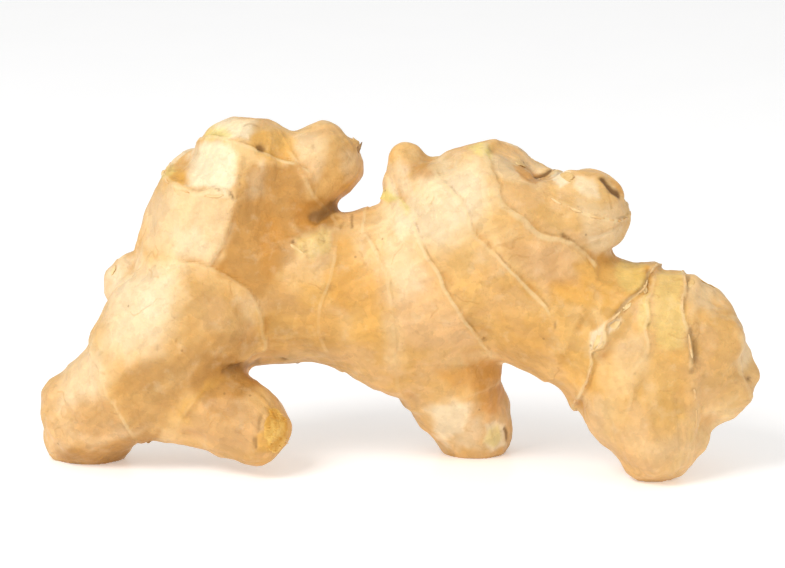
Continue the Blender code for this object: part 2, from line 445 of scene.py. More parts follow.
@dataclass
class Wiring:
    """The node tree of one material, with a method for each kind of node that the finishes use."""

    tree: bpy.types.NodeTree

    def add(self, kind: str, **inputs: object) -> bpy.types.Node:
        """Adds one node.

        Args:
            kind: The node's type, without its ShaderNode prefix.
            inputs: For each named input, a value to set or a socket to link.

        Returns:
            The new node.
        """
        node = self.tree.nodes.new("ShaderNode" + kind)
        for name, value in inputs.items():
            self.feed(node.inputs[name.replace("_", " ")], value)
        return node

    def feed(self, socket: Socket, value: object) -> None:
        """Links a socket to another, or sets its value."""
        if isinstance(value, Socket):
            self.tree.links.new(value, socket)
        else:
            socket.default_value = value

    def object_place(self) -> Socket:
        """The place on the object, in metres."""
        return self.add("TexCoord").outputs["Object"]

    def attribute(self, name: str) -> Socket:
        """A number that the mesh holds at each vertex.

        Args:
            name: The attribute's name.

        Returns:
            The number.
        """
        node = self.add("Attribute")
        node.attribute_name = name
        return node.outputs["Fac"]

    def shifted(self, distance: float) -> Socket:
        """The place on the object, moved by a distance in metres along each axis."""
        node = self.add("Mapping", Vector=self.object_place(), Location=(distance, distance, distance))
        return node.outputs["Vector"]

    def noise(
        self, size: float, detail: float = 3.0, roughness: float = 0.55, place: Socket | None = None
    ) -> Socket:
        """Noise from 0 to 1.

        Args:
            size: The length of its features in millimetres.
            detail: How many finer layers it has.
            roughness: How strong those layers are.
            place: Where it is read, or None for the place on the object.

        Returns:
            The noise as a number.
        """
        node = self.add("TexNoise", Vector=place or self.object_place(), Scale=1 / (size * MM))
        node.inputs["Detail"].default_value = detail
        node.inputs["Roughness"].default_value = roughness
        return node.outputs["Fac"]

    def spots(self, size: float) -> Socket:
        """The distance to the nearest of scattered points, as a share of their spacing in millimetres."""
        node = self.add("TexVoronoi", Vector=self.object_place(), Scale=1 / (size * MM))
        return node.outputs["Distance"]

    def patchwork(self, size: float, shake: float) -> Socket:
        """Adjoining patches with uneven borders, each with a tone of its own from 0 to 1.

        Args:
            size: The patches' spacing in millimetres.
            shake: How far their borders wander, in millimetres.

        Returns:
            The tone as a number.
        """
        wander = self.add("TexNoise", Vector=self.object_place(), Scale=2 / (size * MM))
        wander.inputs["Detail"].default_value = 4.0
        place = self.mix(2 * shake * MM, self.object_place(), wander.outputs["Color"], "ADD")
        return self.add("TexVoronoi", Vector=place, Scale=1 / (size * MM)).outputs["Color"]

    def reckon(self, operation: str, first: object, second: object = 0.0) -> Socket:
        """One step of arithmetic.

        Args:
            operation: Its name, as Blender's Math node has it.
            first: The first number or socket.
            second: The second one.

        Returns:
            The outcome.
        """
        node = self.add("Math")
        node.operation = operation
        self.feed(node.inputs[0], first)
        self.feed(node.inputs[1], second)
        return node.outputs[0]

    def times(self, first: object, *others: object) -> Socket:
        """The product of some numbers or sockets.

        Args:
            first: The first of them.
            others: The rest.

        Returns:
            The product.
        """
        for other in others:
            first = self.reckon("MULTIPLY", first, other)
        return first

    def band(self, value: Socket, rise: Span, fall: Span) -> Socket:
        """A band of a value: it comes in over the first span and goes out over the second."""
        return self.times(self.levels(value, *rise), self.levels(value, *fall, 1.0, 0.0))

    def levels(
        self, value: Socket, low: float, high: float, bottom: float = 0.0, top: float = 1.0
    ) -> Socket:
        """Turns a value smoothly from bottom at low to top at high, and holds it outside them.

        Args:
            value: The value.
            low: Where the change starts.
            high: Where it ends.
            bottom: The result at low.
            top: The result at high.

        Returns:
            The result as a number.
        """
        node = self.add("MapRange", Value=value)
        node.interpolation_type = "SMOOTHSTEP"
        for name, number in (("From Min", low), ("From Max", high), ("To Min", bottom), ("To Max", top)):
            node.inputs[name].default_value = number
        return node.outputs["Result"]

    def ramp(self, value: Socket, stops: list[tuple[float, Colour]]) -> Socket:
        """A colour that changes with a value.

        Args:
            value: The value.
            stops: For each stop, where it lies and its colour.

        Returns:
            The colour.
        """
        node = self.add("ValToRGB", Fac=value)
        elements = node.color_ramp.elements
        while len(elements) < len(stops):
            elements.new(1.0)
        for element, (position, colour) in zip(elements, stops):
            element.position = position
            element.color = (*colour, 1.0)
        return node.outputs["Color"]

    def mix(self, share: object, under: object, over: object, mode: str = "MIX") -> Socket:
        """Lays one colour over another.

        Args:
            share: How much of the upper colour shows.
            under: The lower colour, or its socket.
            over: The upper colour, or its socket.
            mode: How they mix, in Blender's words.

        Returns:
            The mixed colour.
        """
        node = self.add("MixRGB")
        node.blend_type = mode
        self.feed(node.inputs["Fac"], share)
        for socket, colour in ((node.inputs["Color1"], under), (node.inputs["Color2"], over)):
            self.feed(socket, (*colour, 1.0) if isinstance(colour, tuple) else colour)
        return node.outputs["Color"]

    def tint(self, under: Socket, over: Colour, share: Socket, strength: float) -> Socket:
        """Lays a tint over a colour, at its full strength where the share is one."""
        return self.mix(self.times(share, strength), under, over)

    def bump(self, height: Socket, depth: float, under: Socket | None = None) -> Socket:
        """A normal that follows a height.

        Args:
            height: The height, as a share of the depth.
            depth: How far a height of one stands out, in millimetres.
            under: A normal to add it to.

        Returns:
            The new normal.
        """
        node = self.add("Bump", Height=height, Distance=depth * MM)
        if under is not None:
            self.feed(node.inputs["Normal"], under)
        return node.outputs["Normal"]


def new_material(name: str) -> tuple[bpy.types.Material, Wiring, bpy.types.Node]:
    """Starts a material.

    Args:
        name: Its name.

    Returns:
        The material, its wiring and its Principled shader.
    """
    material = bpy.data.materials.new(name)
    material.use_nodes = True
    shader = material.node_tree.nodes["Principled BSDF"]
    return material, Wiring(material.node_tree), shader


@dataclass(frozen=True)
class RootSkin:
    """The thin satin skin: tan with cream and orange patches, ring lines, fibres and small brown marks,
    with painted highlights in its cream patches and painted shade in its tan, orange and brown ones, in
    its creases and in its ring grooves.

    The shares are how strongly each kind of mark takes its colour. Sizes and depths are in millimetres.
    """

    deep: Colour = (0.63, 0.35, 0.10)
    tan: Colour = (0.69, 0.415, 0.15)
    light: Colour = (0.76, 0.52, 0.24)
    cream: Colour = (0.87, 0.72, 0.48)
    rose: Colour = (0.72, 0.44, 0.21)
    gold: Colour = (0.67, 0.35, 0.06)
    orange: Colour = (0.56, 0.24, 0.03)
    deep_tan: Colour = (0.475, 0.235, 0.055)
    green: Colour = (0.76, 0.61, 0.19)
    brown: Colour = (0.19, 0.09, 0.022)
    rim: Colour = (0.80, 0.60, 0.32)
    cloud_size: float = 22.0
    tones: tuple[tuple[float, float, float, float], ...] = (
        (8.0, 4.0, 0.95, 1.05),
        (3.4, 2.0, 0.95, 1.04),
        (1.4, 0.8, 0.97, 1.03),
    )
    rosy_share: float = 0.4
    golden_share: float = 0.18
    dull_share: float = 0.18
    pale_share: float = 0.13
    vein_share: float = 0.28
    # Painted shade: the groove share darkens the ring grooves, and the crease shares darken the creases
    groove_shade_share: float = 0.3
    crease_shade_share: float = 0.6
    deepest_crease_shade_share: float = 0.55
    speck_share: float = 0.45
    speck_spacing: float = 8.0
    patch_depth: float = 0.16
    wrinkle_depth: float = 0.22
    vein_depth: float = 0.04
    pore_depth: float = 0.03
    fibre_depth: float = 0.10
    roughness: float = 0.48
    sheen: float = 0.32
    glow: float = 0.08
    glow_reach: Place = (1.0, 0.42, 0.16)
    glow_depth: float = 3.0

    def ground(self, wiring: Wiring) -> Socket:
        """The skin's own colour under every mark: soft clouds of tan, with rosy and golden patches.

        Args:
            wiring: The material's nodes.

        Returns:
            The colour.
        """
        clouds = [(0.32, self.deep), (0.50, self.tan), (0.68, self.light)]
        colour = wiring.ramp(wiring.noise(self.cloud_size, detail=2.0), clouds)
        rosy = wiring.levels(wiring.noise(7.5, place=wiring.shifted(0.31)), 0.48, 0.62)
        colour = wiring.tint(colour, self.rose, rosy, self.rosy_share)
        golden = wiring.levels(wiring.noise(8.0, place=wiring.shifted(0.17)), 0.52, 0.66)
        return wiring.tint(colour, self.gold, golden, self.golden_share)

    def toned(self, wiring: Wiring, colour: Socket) -> Socket:
        """Breaks a colour up by patches of three sizes, dull and pale flecks, fibres and faint veins.

        Args:
            wiring: The material's nodes.
            colour: The colour before them.

        Returns:
            The colour with them.
        """
        for size, shake, low, high in self.tones:
            tone = wiring.levels(wiring.patchwork(size, shake), 0.25, 0.75, low, high)
            colour = wiring.mix(1.0, colour, tone, "MULTIPLY")
        dull = wiring.levels(wiring.noise(1.8, detail=5.0, roughness=0.7), 0.48, 0.75)
        colour = wiring.tint(colour, self.deep_tan, dull, self.dull_share)
        pale = wiring.levels(wiring.noise(3.2, detail=4.0, place=wiring.shifted(0.07)), 0.54, 0.72)
        colour = wiring.tint(colour, self.cream, pale, self.pale_share)
        fibre = wiring.levels(wiring.attribute("fibre"), -0.6, 0.6, 0.95, 1.03)
        colour = wiring.mix(1.0, colour, fibre, "MULTIPLY")
        return wiring.tint(colour, self.deep_tan, self.veins(wiring), self.vein_share)

    def veins(self, wiring: Wiring) -> Socket:
        """Thin broken lines, the edges of overlapping layers of the skin.

        Args:
            wiring: The material's nodes.

        Returns:
            One on a line and zero away from it.
        """
        height = wiring.noise(13.0, detail=2.5, roughness=0.5, place=wiring.shifted(0.11))
        away = wiring.reckon("ABSOLUTE", wiring.reckon("SUBTRACT", height, 0.5))
        line = wiring.levels(away, 0.003, 0.012, 1.0, 0.0)
        shown = wiring.levels(wiring.noise(6.0, place=wiring.shifted(0.23)), 0.54, 0.60)
        return wiring.times(line, shown)

    def stained_and_shaded(self, wiring: Wiring, colour: Socket) -> Socket:
        """Lays the patches, ring lines, creases and brown marks over the ground colour, with painted
        highlights and painted shade among the patches, and painted shade in the creases and ring grooves.

        Args:
            wiring: The material's nodes.
            colour: The ground colour.

        Returns:
            The colour with all its marks.
        """
        tints = {
            StainAndShading.ROSE: self.rose,
            StainAndShading.TAN: self.deep_tan,
            StainAndShading.GOLD: self.gold,
            StainAndShading.CREAM_AND_HIGHLIGHT: self.cream,
            StainAndShading.ORANGE_AND_SHADE: self.orange,
            StainAndShading.GREEN: self.green,
        }
        for stain_and_shade, over in tints.items():
            colour = wiring.mix(wiring.attribute(stain_and_shade.value), colour, over)
        colour = self.toned(wiring, colour)
        ring, held, crease = (wiring.attribute(name) for name in ("ring", "held", "crease"))
        patchy = wiring.levels(wiring.noise(4.4), 0.35, 0.62, 0.15, 0.6)
        rim = wiring.times(wiring.band(ring, (-0.75, -0.3), (0.05, 0.25)), held, patchy)
        colour = wiring.mix(rim, colour, self.rim)
        # A broken brown line in each ring's groove: partly a real dark line, partly painted shade below
        # the rim
        broken = wiring.levels(wiring.noise(3.4), 0.46, 0.66)
        groove = wiring.times(wiring.band(ring, (0.15, 0.35), (0.45, 0.8)), held, broken)
        colour = wiring.tint(colour, self.brown, groove, self.groove_shade_share)
        # Painted shade in the creases: orange in the shallow ones, brown in the deepest
        colour = wiring.tint(colour, self.orange, wiring.levels(crease, 0.10, 0.7), self.crease_shade_share)
        colour = wiring.tint(colour, self.brown, wiring.levels(crease, 0.5, 1.4), self.deepest_crease_shade_share)
        # Brown marks and dots, together with the painted shade that the brown washes and slits lay in
        # creases and grooves, and a painted contact shadow under the left lobe
        marked = wiring.levels(wiring.attribute(StainAndShading.BROWN.value), 0.0, 1.0)
        colour = wiring.mix(marked, colour, self.brown)
        speck = wiring.levels(wiring.spots(self.speck_spacing), 0.02, 0.05, 1.0, 0.0)
        return wiring.tint(colour, self.brown, speck, self.speck_share)

    def normal(self, wiring: Wiring) -> Socket:
        """The fine relief: patches that lie higher or lower, wrinkles, sunken veins, pores and fibres.

        Args:
            wiring: The material's nodes.

        Returns:
            The normal.
        """
        relief = wiring.bump(wiring.patchwork(4.5, 2.4), self.patch_depth)
        relief = wiring.bump(wiring.noise(1.7, detail=5.0, roughness=0.65), self.wrinkle_depth, relief)
        relief = wiring.bump(self.veins(wiring), -self.vein_depth, relief)
        relief = wiring.bump(wiring.noise(0.42), self.pore_depth, relief)
        return wiring.bump(wiring.attribute("fibre"), self.fibre_depth, relief)

    def material(self) -> bpy.types.Material:
        """Mixes the whole finish.

        Returns:
            The material.
        """
        material, wiring, shader = new_material("ginger_skin")
        wiring.feed(shader.inputs["Base Color"], self.stained_and_shaded(wiring, self.ground(wiring)))
        gloss = wiring.levels(wiring.noise(2.2), 0.3, 0.7, self.roughness - 0.07, self.roughness + 0.09)
        wiring.feed(shader.inputs["Roughness"], gloss)
        wiring.feed(shader.inputs["Normal"], self.normal(wiring))
        shader.inputs["Specular IOR Level"].default_value = self.sheen
        shader.inputs["Subsurface Weight"].default_value = self.glow
        shader.inputs["Subsurface Radius"].default_value = self.glow_reach
        shader.inputs["Subsurface Scale"].default_value = self.glow_depth * MM
        return material


@dataclass(frozen=True)
class PlainDryFinish:
    """A dry, matt plant finish: two tones, and a fine uneven surface with its grain and depth in mm."""

    name: str
    first: Colour
    second: Colour
    roughness: float
    grain: float
    depth: float
    uneven: float = 0.08

    def material(self) -> bpy.types.Material:
        """Mixes the finish.

        Returns:
            The material.
        """
        material, wiring, shader = new_material(self.name)
        tone = wiring.noise(self.grain * 3, detail=4.0)
        colour = wiring.ramp(tone, [(0.35, self.first), (0.65, self.second)])
        wiring.feed(shader.inputs["Base Color"], colour)
        dull, bright = self.roughness - self.uneven, self.roughness + self.uneven
        gloss = wiring.levels(wiring.noise(self.grain), 0.3, 0.7, dull, bright)
        wiring.feed(shader.inputs["Roughness"], gloss)
        normal = wiring.bump(wiring.noise(self.grain, detail=4.0), self.depth)
        wiring.feed(shader.inputs["Normal"], normal)
        return material


PAPERY = PlainDryFinish("papery_skin", (0.64, 0.40, 0.14), (0.82, 0.61, 0.30), 0.62, 0.9, 0.08)
SCALE = PlainDryFinish("ring_scale", (0.66, 0.38, 0.14), (0.80, 0.57, 0.28), 0.58, 0.8, 0.04)
FLESH = PlainDryFinish("bare_flesh", (0.60, 0.30, 0.04), (0.80, 0.52, 0.13), 0.6, 0.8, 0.14)
BUD = PlainDryFinish("dry_bud", (0.16, 0.08, 0.025), (0.42, 0.25, 0.10), 0.72, 0.4, 0.10)


# The skin


@dataclass(frozen=True)
class Ring:
    """A growth ring, where a leaf sheath once sat round a finger.

    The middle lies on the finger's axis. The finger grows along turn, in degrees from +X towards +Z,
    and away, in degrees towards +Y. reach is how far out the ring goes, rise the height of its rim, and
    mark how strongly its line is coloured. trace is its line on the front, in columns and rows of the
    main view.
    """

    name: str
    middle: Place
    turn: float
    away: float
    reach: float
    rise: float
    mark: float = 1.0
    trace: Trace = ()

    def way(self) -> np.ndarray:
        """The way that the finger grows.

        Returns:
            A unit vector.
        """
        turn, away = math.radians(self.turn), math.radians(self.away)
        level = math.cos(away)
        return np.array((math.cos(turn) * level, math.sin(away), math.sin(turn) * level))

    def frame(self) -> tuple[np.ndarray, np.ndarray, np.ndarray]:
        """The ring's own directions.

        Returns:
            Unit vectors along the finger, out to its front and out to its side.
        """
        way = self.way()
        front = np.array((0.0, -1.0, 0.0)) + way[1] * way
        front /= np.linalg.norm(front)
        return way, front, np.cross(way, front)

    def measured(self, points: np.ndarray) -> tuple[np.ndarray, np.ndarray, np.ndarray]:
        """Each point as the ring sees it.

        Args:
            points: Rows of x, y, z in millimetres.

        Returns:
            The distance along the finger past the ring's plane, the distance out from the axis, and the
            angle round the axis in degrees, zero at the front.
        """
        way, front, side = self.frame()
        offset = points - np.array(self.middle)
        along = offset @ way
        out = np.linalg.norm(offset - along[:, None] * way, axis=1)
        return along, out, np.degrees(np.arctan2(offset @ side, offset @ front))


RINGS = (
    Ring(
        "left_lobe_end", (-59.0, -0.6, 16.5), 206, 12, 13.5, 0.35, 0.6,
        ((88, 343), (89, 351), (94, 361), (99, 368), (101, 379), (107, 398), (114, 405), (121, 418),
         (133, 437)),
    ),
    Ring(
        "tower_sleeve", (-41.3, 2.4, 62.0), 88, -17, 12.5, 0.8, 0.8,
        ((160, 168), (172, 181), (185, 189), (200, 194), (215, 191), (226, 192), (233, 200)),
    ),
    Ring(
        "tower_cap", (-31.8, 5.4, 62.8), 59, 36, 15.0, 0.5, 1.0,
        ((205, 137), (218, 137), (230, 140), (243, 145), (258, 150), (274, 157), (288, 162),
         (300, 166)),
    ),
    Ring("upper_finger", (-18.8, 6.4, 60.7), 33, 0, 9.8, 0.3, 0.5),
    Ring(
        "saddle", (-14.2, 2.4, 36.9), 8, 0, 17.0, 0.2, 0.45,
        ((339, 229), (337, 245), (335, 262), (330, 283), (323, 298), (320, 315), (320, 333),
         (324, 345)),
    ),
    Ring(
        "body_first", (-2.7, 1.4, 35.0), 9.7, 0, 19.5, 0.4, 0.8,
        ((364, 233), (372, 243), (379, 258), (384, 269), (389, 279), (391, 297), (393, 320), (395, 345),
         (397, 371)),
    ),
    Ring(
        "body_second", (8.6, 0.4, 43.0), 31, 0, 20.5, 0.5, 1.0,
        ((400, 200), (411, 217), (421, 243), (429, 259), (439, 273), (446, 291), (453, 302), (466, 322),
         (480, 340)),
    ),
    Ring(
        "body_third", (20.7, -0.6, 48.0), 40, -8, 20.0, 0.5, 1.0,
        ((461, 200), (468, 214), (473, 233), (487, 247), (501, 260), (518, 278), (535, 295), (545, 305),
         (555, 325)),
    ),
    Ring(
        "body_fourth", (31.2, -1.6, 56.9), 49, -26, 17.0, 0.5, 1.0,
        ((483, 150), (489, 160), (488, 168), (492, 176), (497, 186), (499, 197), (508, 209), (521, 217),
         (534, 229), (546, 237), (560, 239), (574, 244)),
    ),
    Ring(
        "knob", (39.2, -2.6, 58.7), 68, -10, 10.5, 0.45, 1.0,
        ((542, 193), (559, 202), (571, 206), (584, 212), (598, 217), (608, 219), (618, 220)),
    ),
    Ring("neck", (36.3, -1.6, 31.8), -24, 0, 15.0, 0.15, 0.0),
    Ring(
        "neck_torn", (46.2, -2.6, 27.9), -29.5, -17.5, 18.0, 0.7, 1.0,
        ((654, 269), (649, 276), (646, 285), (640, 293), (630, 301), (624, 307), (613, 320), (606, 324),
         (606, 336), (602, 346), (592, 352), (593, 361), (590, 375), (585, 387)),
    ),
    Ring(
        "right_lobe_first", (49.2, -4.6, 27.0), -18, 6, 18.5, 0.3, 0.7,
        ((656, 275), (652, 290), (648, 304), (650, 318), (646, 328), (649, 344), (645, 358), (634, 372),
         (634, 385), (632, 399), (627, 413), (618, 425)),
    ),
    Ring(
        "right_lobe_second", (61.6, -5.9, 26.0), 1, -6, 17.0, 0.6, 1.0,
        ((683, 270), (686, 288), (683, 305), (685, 320), (689, 335), (692, 352), (692, 367), (692, 380),
         (696, 393)),
    ),
    Ring(
        "right_tip", (70.7, -5.6, 25.0), 18, 0, 10.0, 0.3, 0.8,
        ((727, 325), (732, 339), (736, 355), (741, 372)),
    ),
    Ring("middle_stub", (11.9, 6.4, 14.7), -72, 0, 11.5, 0.15, 0.25),
    Ring("left_stub", (-39.3, -3.6, 14.1), -38, -25, 9.5, 0.3, 0.3),
)


BLEND = 45  # degrees round a finger, from the end of a ring's trace back to its plane
SCALY_RINGS = ("tower_sleeve", "knob", "neck_torn", "right_lobe_second")


@dataclass(frozen=True)
class LaidRing:
    """A ring with its line laid on the skin. It runs through its trace, and wanders where it has none."""

    ring: Ring
    angles: np.ndarray
    shifts: np.ndarray

    @classmethod
    def on(cls, ring: Ring, surface: Surface) -> "LaidRing":
        """Lays a ring on the skin.

        Args:
            ring: The ring.
            surface: The skin.

        Returns:
            The ring with the place of its line at some angles round the finger.
        """
        if not ring.trace:
            return cls(ring, np.array((-180.0, 180.0)), np.zeros(2))
        along, _, angle = ring.measured(surface.laid(ring.trace).points)
        order = np.argsort(angle)
        angles, shifts = angle[order], along[order]
        angles = np.concatenate([[-180, angles[0] - BLEND], angles, [angles[-1] + BLEND, 180]])
        return cls(ring, angles, np.concatenate([[0, 0], shifts, [0, 0]]))

    def place_of(self, points: np.ndarray, angle: np.ndarray) -> np.ndarray:
        """How far past the ring's plane its line lies near each point, in millimetres.

        Args:
            points: Rows of x, y, z in millimetres.
            angle: The angle of each round the axis, in degrees.

        Returns:
            One value for each row.
        """
        traced = np.zeros(len(points))
        if self.ring.trace:
            past_ends = np.maximum(self.angles[2] - angle, angle - self.angles[-3])
            traced = 1 - smooth_step(past_ends, 0, 30)
        wave = 0.9 * (1 - 0.85 * traced) * noise_at(points, 9.0, 1.7)
        return np.interp(angle, self.angles, self.shifts) - wave - jagged(points)

    def distance(self, points: np.ndarray) -> tuple[np.ndarray, np.ndarray]:
        """How far along the finger each point lies from the ring's line.

        Args:
            points: Rows of x, y, z in millimetres.

        Returns:
            The distance past the line in millimetres, and a share that is one where the ring holds.
        """
        along, out, angle = self.ring.measured(points)
        held = smooth_step(self.ring.reach * 1.12 - out, 0, self.ring.reach * 0.12)
        return along - self.place_of(points, angle), held

    def line(self, surface: Surface, step: float = 2.0) -> list[tuple[Vector, Vector] | None]:
        """The ring's line round the finger.

        Args:
            surface: The skin that it lies on.
            step: How far apart its points are, in degrees round the axis.

        Returns:
            A place and the skin's normal for each step, or None where the line runs inside the root.
        """
        way, front, side = self.ring.frame()
        middle = np.array(self.ring.middle)
        found = []
        for angle in np.arange(-180, 180, step):
            turn = math.radians(angle)
            outward = Vector(front * math.cos(turn) + side * math.sin(turn))
            place, normal, shift = None, None, float(np.interp(angle, self.angles, self.shifts))
            for _ in range(3):
                start = Vector(middle + way * shift)
                place, normal, _, _ = surface.tree.ray_cast(start, outward, self.ring.reach * 1.1)
                if place is None:
                    break
                shift = float(self.place_of(np.array([place]), np.array([angle]))[0])
            found.append(None if place is None else (place, normal))
        return found


def jagged(points: np.ndarray) -> np.ndarray:
    """The small ragged wander of every line on the skin, in millimetres."""
    return 0.22 * noise_at(points, 2.1, 8.2)


@dataclass(frozen=True)
class Fold:
    """An open line on the front, traced as the main view sees it.

    The skin steps down on the right of its run. slope is how far back the rise of its edge reaches, in
    millimetres.
    """

    name: str
    trace: Trace
    rise: float
    slope: float
    mark: float = 1.0


FOLDS = (
    Fold(
        "left_lobe_edge",
        ((230, 367), (242, 360), (255, 354), (266, 347), (263, 333), (262, 320), (257, 304), (247, 290),
         (233, 280), (212, 270), (190, 264), (171, 262)),
        0.9, 3.0, 0.4,
    ),
    Fold(
        "tower_edge",
        ((206, 270), (214, 257), (222, 243), (228, 226), (232, 210), (235, 195), (238, 175), (242, 160),
         (246, 149)),
        0.8, 6.0, 0.0,
    ),
    Fold("tip_line", ((722, 383), (732, 381), (744, 380)), 0.2, 1.5, 0.6),
    Fold("finger_base", ((309, 181), (304, 174), (298, 168)), 0.25, 1.5, 0.8),
    Fold("saddle_flake_line", ((303, 254), (297, 249), (289, 243)), 0.3, 1.2, 0.9),
)


@dataclass(frozen=True)
class Slit:
    """A narrow groove on the front, traced as the main view sees it: its depth, width and darkness. The
    darkness is painted shade in the groove, partly a dark line of the skin itself.
    """

    trace: Trace
    depth: float
    width: float
    mark: float = 0.9


SLITS = (
    Slit(((600, 176), (606, 184), (612, 191), (620, 198)), 0.5, 0.9, 1.0),
    Slit(((513, 160), (522, 170), (533, 177), (543, 175), (552, 172)), 0.5, 1.3, 0.1),
    Slit(((535, 175), (543, 174), (549, 172), (556, 170)), 0.3, 0.5, 0.8),
    Slit(((309, 213), (311, 219), (316, 223), (322, 219), (328, 214), (334, 211)), 0.4, 0.6, 0.5),
    Slit(((334, 211), (342, 210), (352, 209), (361, 209)), 0.1, 0.4, 0.5),
    Slit(((748, 374), (749, 378), (749, 382)), 0.3, 0.7, 0.9),
    Slit(((647, 270), (647, 279), (641, 289), (631, 298), (623, 306), (613, 318)), 0.3, 0.5, 0.5),
    Slit(((236, 367), (228, 369), (219, 374)), 0.4, 0.6, 0.6),
    Slit(((402, 368), (430, 365), (455, 366), (478, 367)), 0.2, 0.5, 0.2),
    Slit(((160, 354), (156, 346), (157, 340)), 0.15, 0.3, 0.3),
    Slit(((288, 243), (293, 242), (297, 246)), 0.2, 0.35, 0.7),
    Slit(((302, 255), (306, 251), (311, 252)), 0.2, 0.3, 0.5),
    Slit(((320, 236), (324, 241), (323, 247)), 0.2, 0.3, 0.4),
    Slit(((278, 358), (284, 359), (290, 360)), 0.2, 0.5, 0.6),
    Slit(((226, 366), (236, 367), (244, 364)), 0.5, 0.9, 0.7),
    Slit(((646, 275), (647, 282), (645, 288)), 0.25, 0.45, 0.6),
    Slit(((646, 329), (649, 324), (651, 321)), 0.2, 0.3, 0.6),
    Slit(((480, 338), (485, 340), (490, 341)), 0.2, 0.3, 0.6),
    Slit(((554, 319), (555, 326), (556, 333)), 0.2, 0.35, 0.5),
    Slit(((559, 233), (566, 237), (573, 242)), 0.25, 0.5, 0.55),
    Slit(((213, 190), (219, 192), (225, 195)), 0.2, 0.3, 0.55),
    Slit(((228, 190), (232, 196), (234, 202)), 0.2, 0.3, 0.5),
    Slit(((254, 148), (260, 148), (267, 152)), 0.35, 0.9, 0.75),
    Slit(((263, 411), (259, 424), (257, 436)), 0.2, 0.4, 0.45),
    Slit(((240, 128), (250, 124), (262, 126)), 0.15, 0.35, 0.35),
    Slit(((312, 142), (314, 148), (316, 154)), 0.15, 0.3, 0.4),
    Slit(((687, 276), (688, 285), (687, 294)), 0.2, 0.4, 0.5),
    Slit(((503, 425), (506, 433), (507, 443)), 0.25, 0.5, 0.7),
    Slit(((255, 433), (255, 442), (257, 451)), 0.3, 0.4, 0.6),
    Slit(((316, 290), (320, 292), (325, 296)), 0.12, 0.3, 0.35),
    Slit(((320, 336), (324, 339), (328, 344)), 0.12, 0.3, 0.4),
    Slit(((631, 371), (634, 373), (637, 377)), 0.15, 0.3, 0.45),
)


@dataclass(frozen=True)
class Finger:
    """A finger's axis from one end to the other, and its radius, for the run of the fibres."""

    start: Place
    end: Place
    radius: float


FINGERS = (
    Finger((-66, 3, 9), (-42, -1, 32), 12),
    Finger((-40, 6, 34), (-31, 6, 64), 13),
    Finger((-30, 6, 53), (-16, 8, 63), 9),
    Finger((-38, 5, 34), (0, 2, 35), 14),
    Finger((-7, 3, 36), (19, 0, 49), 17),
    Finger((19, 0, 49), (40, -2, 54), 13),
    Finger((23, 0, 38), (50, -3, 26), 14),
    Finger((46, -3, 26), (68, -5, 20), 13),
    Finger((49, -6, 22), (54, -13, 6), 11),
    Finger((9, 4, 23), (15, 10, 5), 10),
    Finger((-45, -1, 16), (-29, -8, 10), 8),
)


@dataclass(frozen=True)
class Wash:
    """An area of the front that takes a tint.

    strength is how much of the tint it takes, soft how many pixels its edge fades over, and outline its
    outline in columns and rows of the main view.
    """

    strength: float
    soft: float
    outline: Trace

    def share(self, columns: np.ndarray, rows: np.ndarray) -> np.ndarray:
        """How strongly each point of the picture is tinted.

        Args:
            columns: The points' columns.
            rows: Their rows.

        Returns:
            One value for each, from 0 to strength.
        """
        corners = np.array(self.outline, float)
        low, high = corners.min(0) - self.soft, corners.max(0) + self.soft
        between = (columns > low[0]) & (columns < high[0]) & (rows > low[1]) & (rows < high[1])
        near = np.flatnonzero(between)
        column, row = columns[near], rows[near]
        inside, away = np.zeros(len(near), bool), np.full(len(near), FAR)
        for (x0, y0), (x1, y1) in zip(corners, np.roll(corners, -1, axis=0)):
            crosses = (y0 > row) != (y1 > row)
            reach = (x1 - x0) * (row - y0) / ((y1 - y0) or TINY) + x0
            inside ^= crosses & (column < reach)
            length = (x1 - x0) ** 2 + (y1 - y0) ** 2
            along = np.clip(((column - x0) * (x1 - x0) + (row - y0) * (y1 - y0)) / length, 0, 1)
            gap = np.hypot(column - x0 - along * (x1 - x0), row - y0 - along * (y1 - y0))
            away = np.minimum(away, gap)
        share = np.zeros(len(columns))
        share[near] = self.strength * smooth_step(np.where(inside, away, -away), -self.soft, self.soft)
        return share


def washes(*rows: tuple[float, ...]) -> tuple[Wash, ...]:
    """Makes a wash of each row of plain numbers."""
    return tuple(Wash(row[0], row[1], tuple(zip(row[2::2], row[3::2]))) for row in rows)
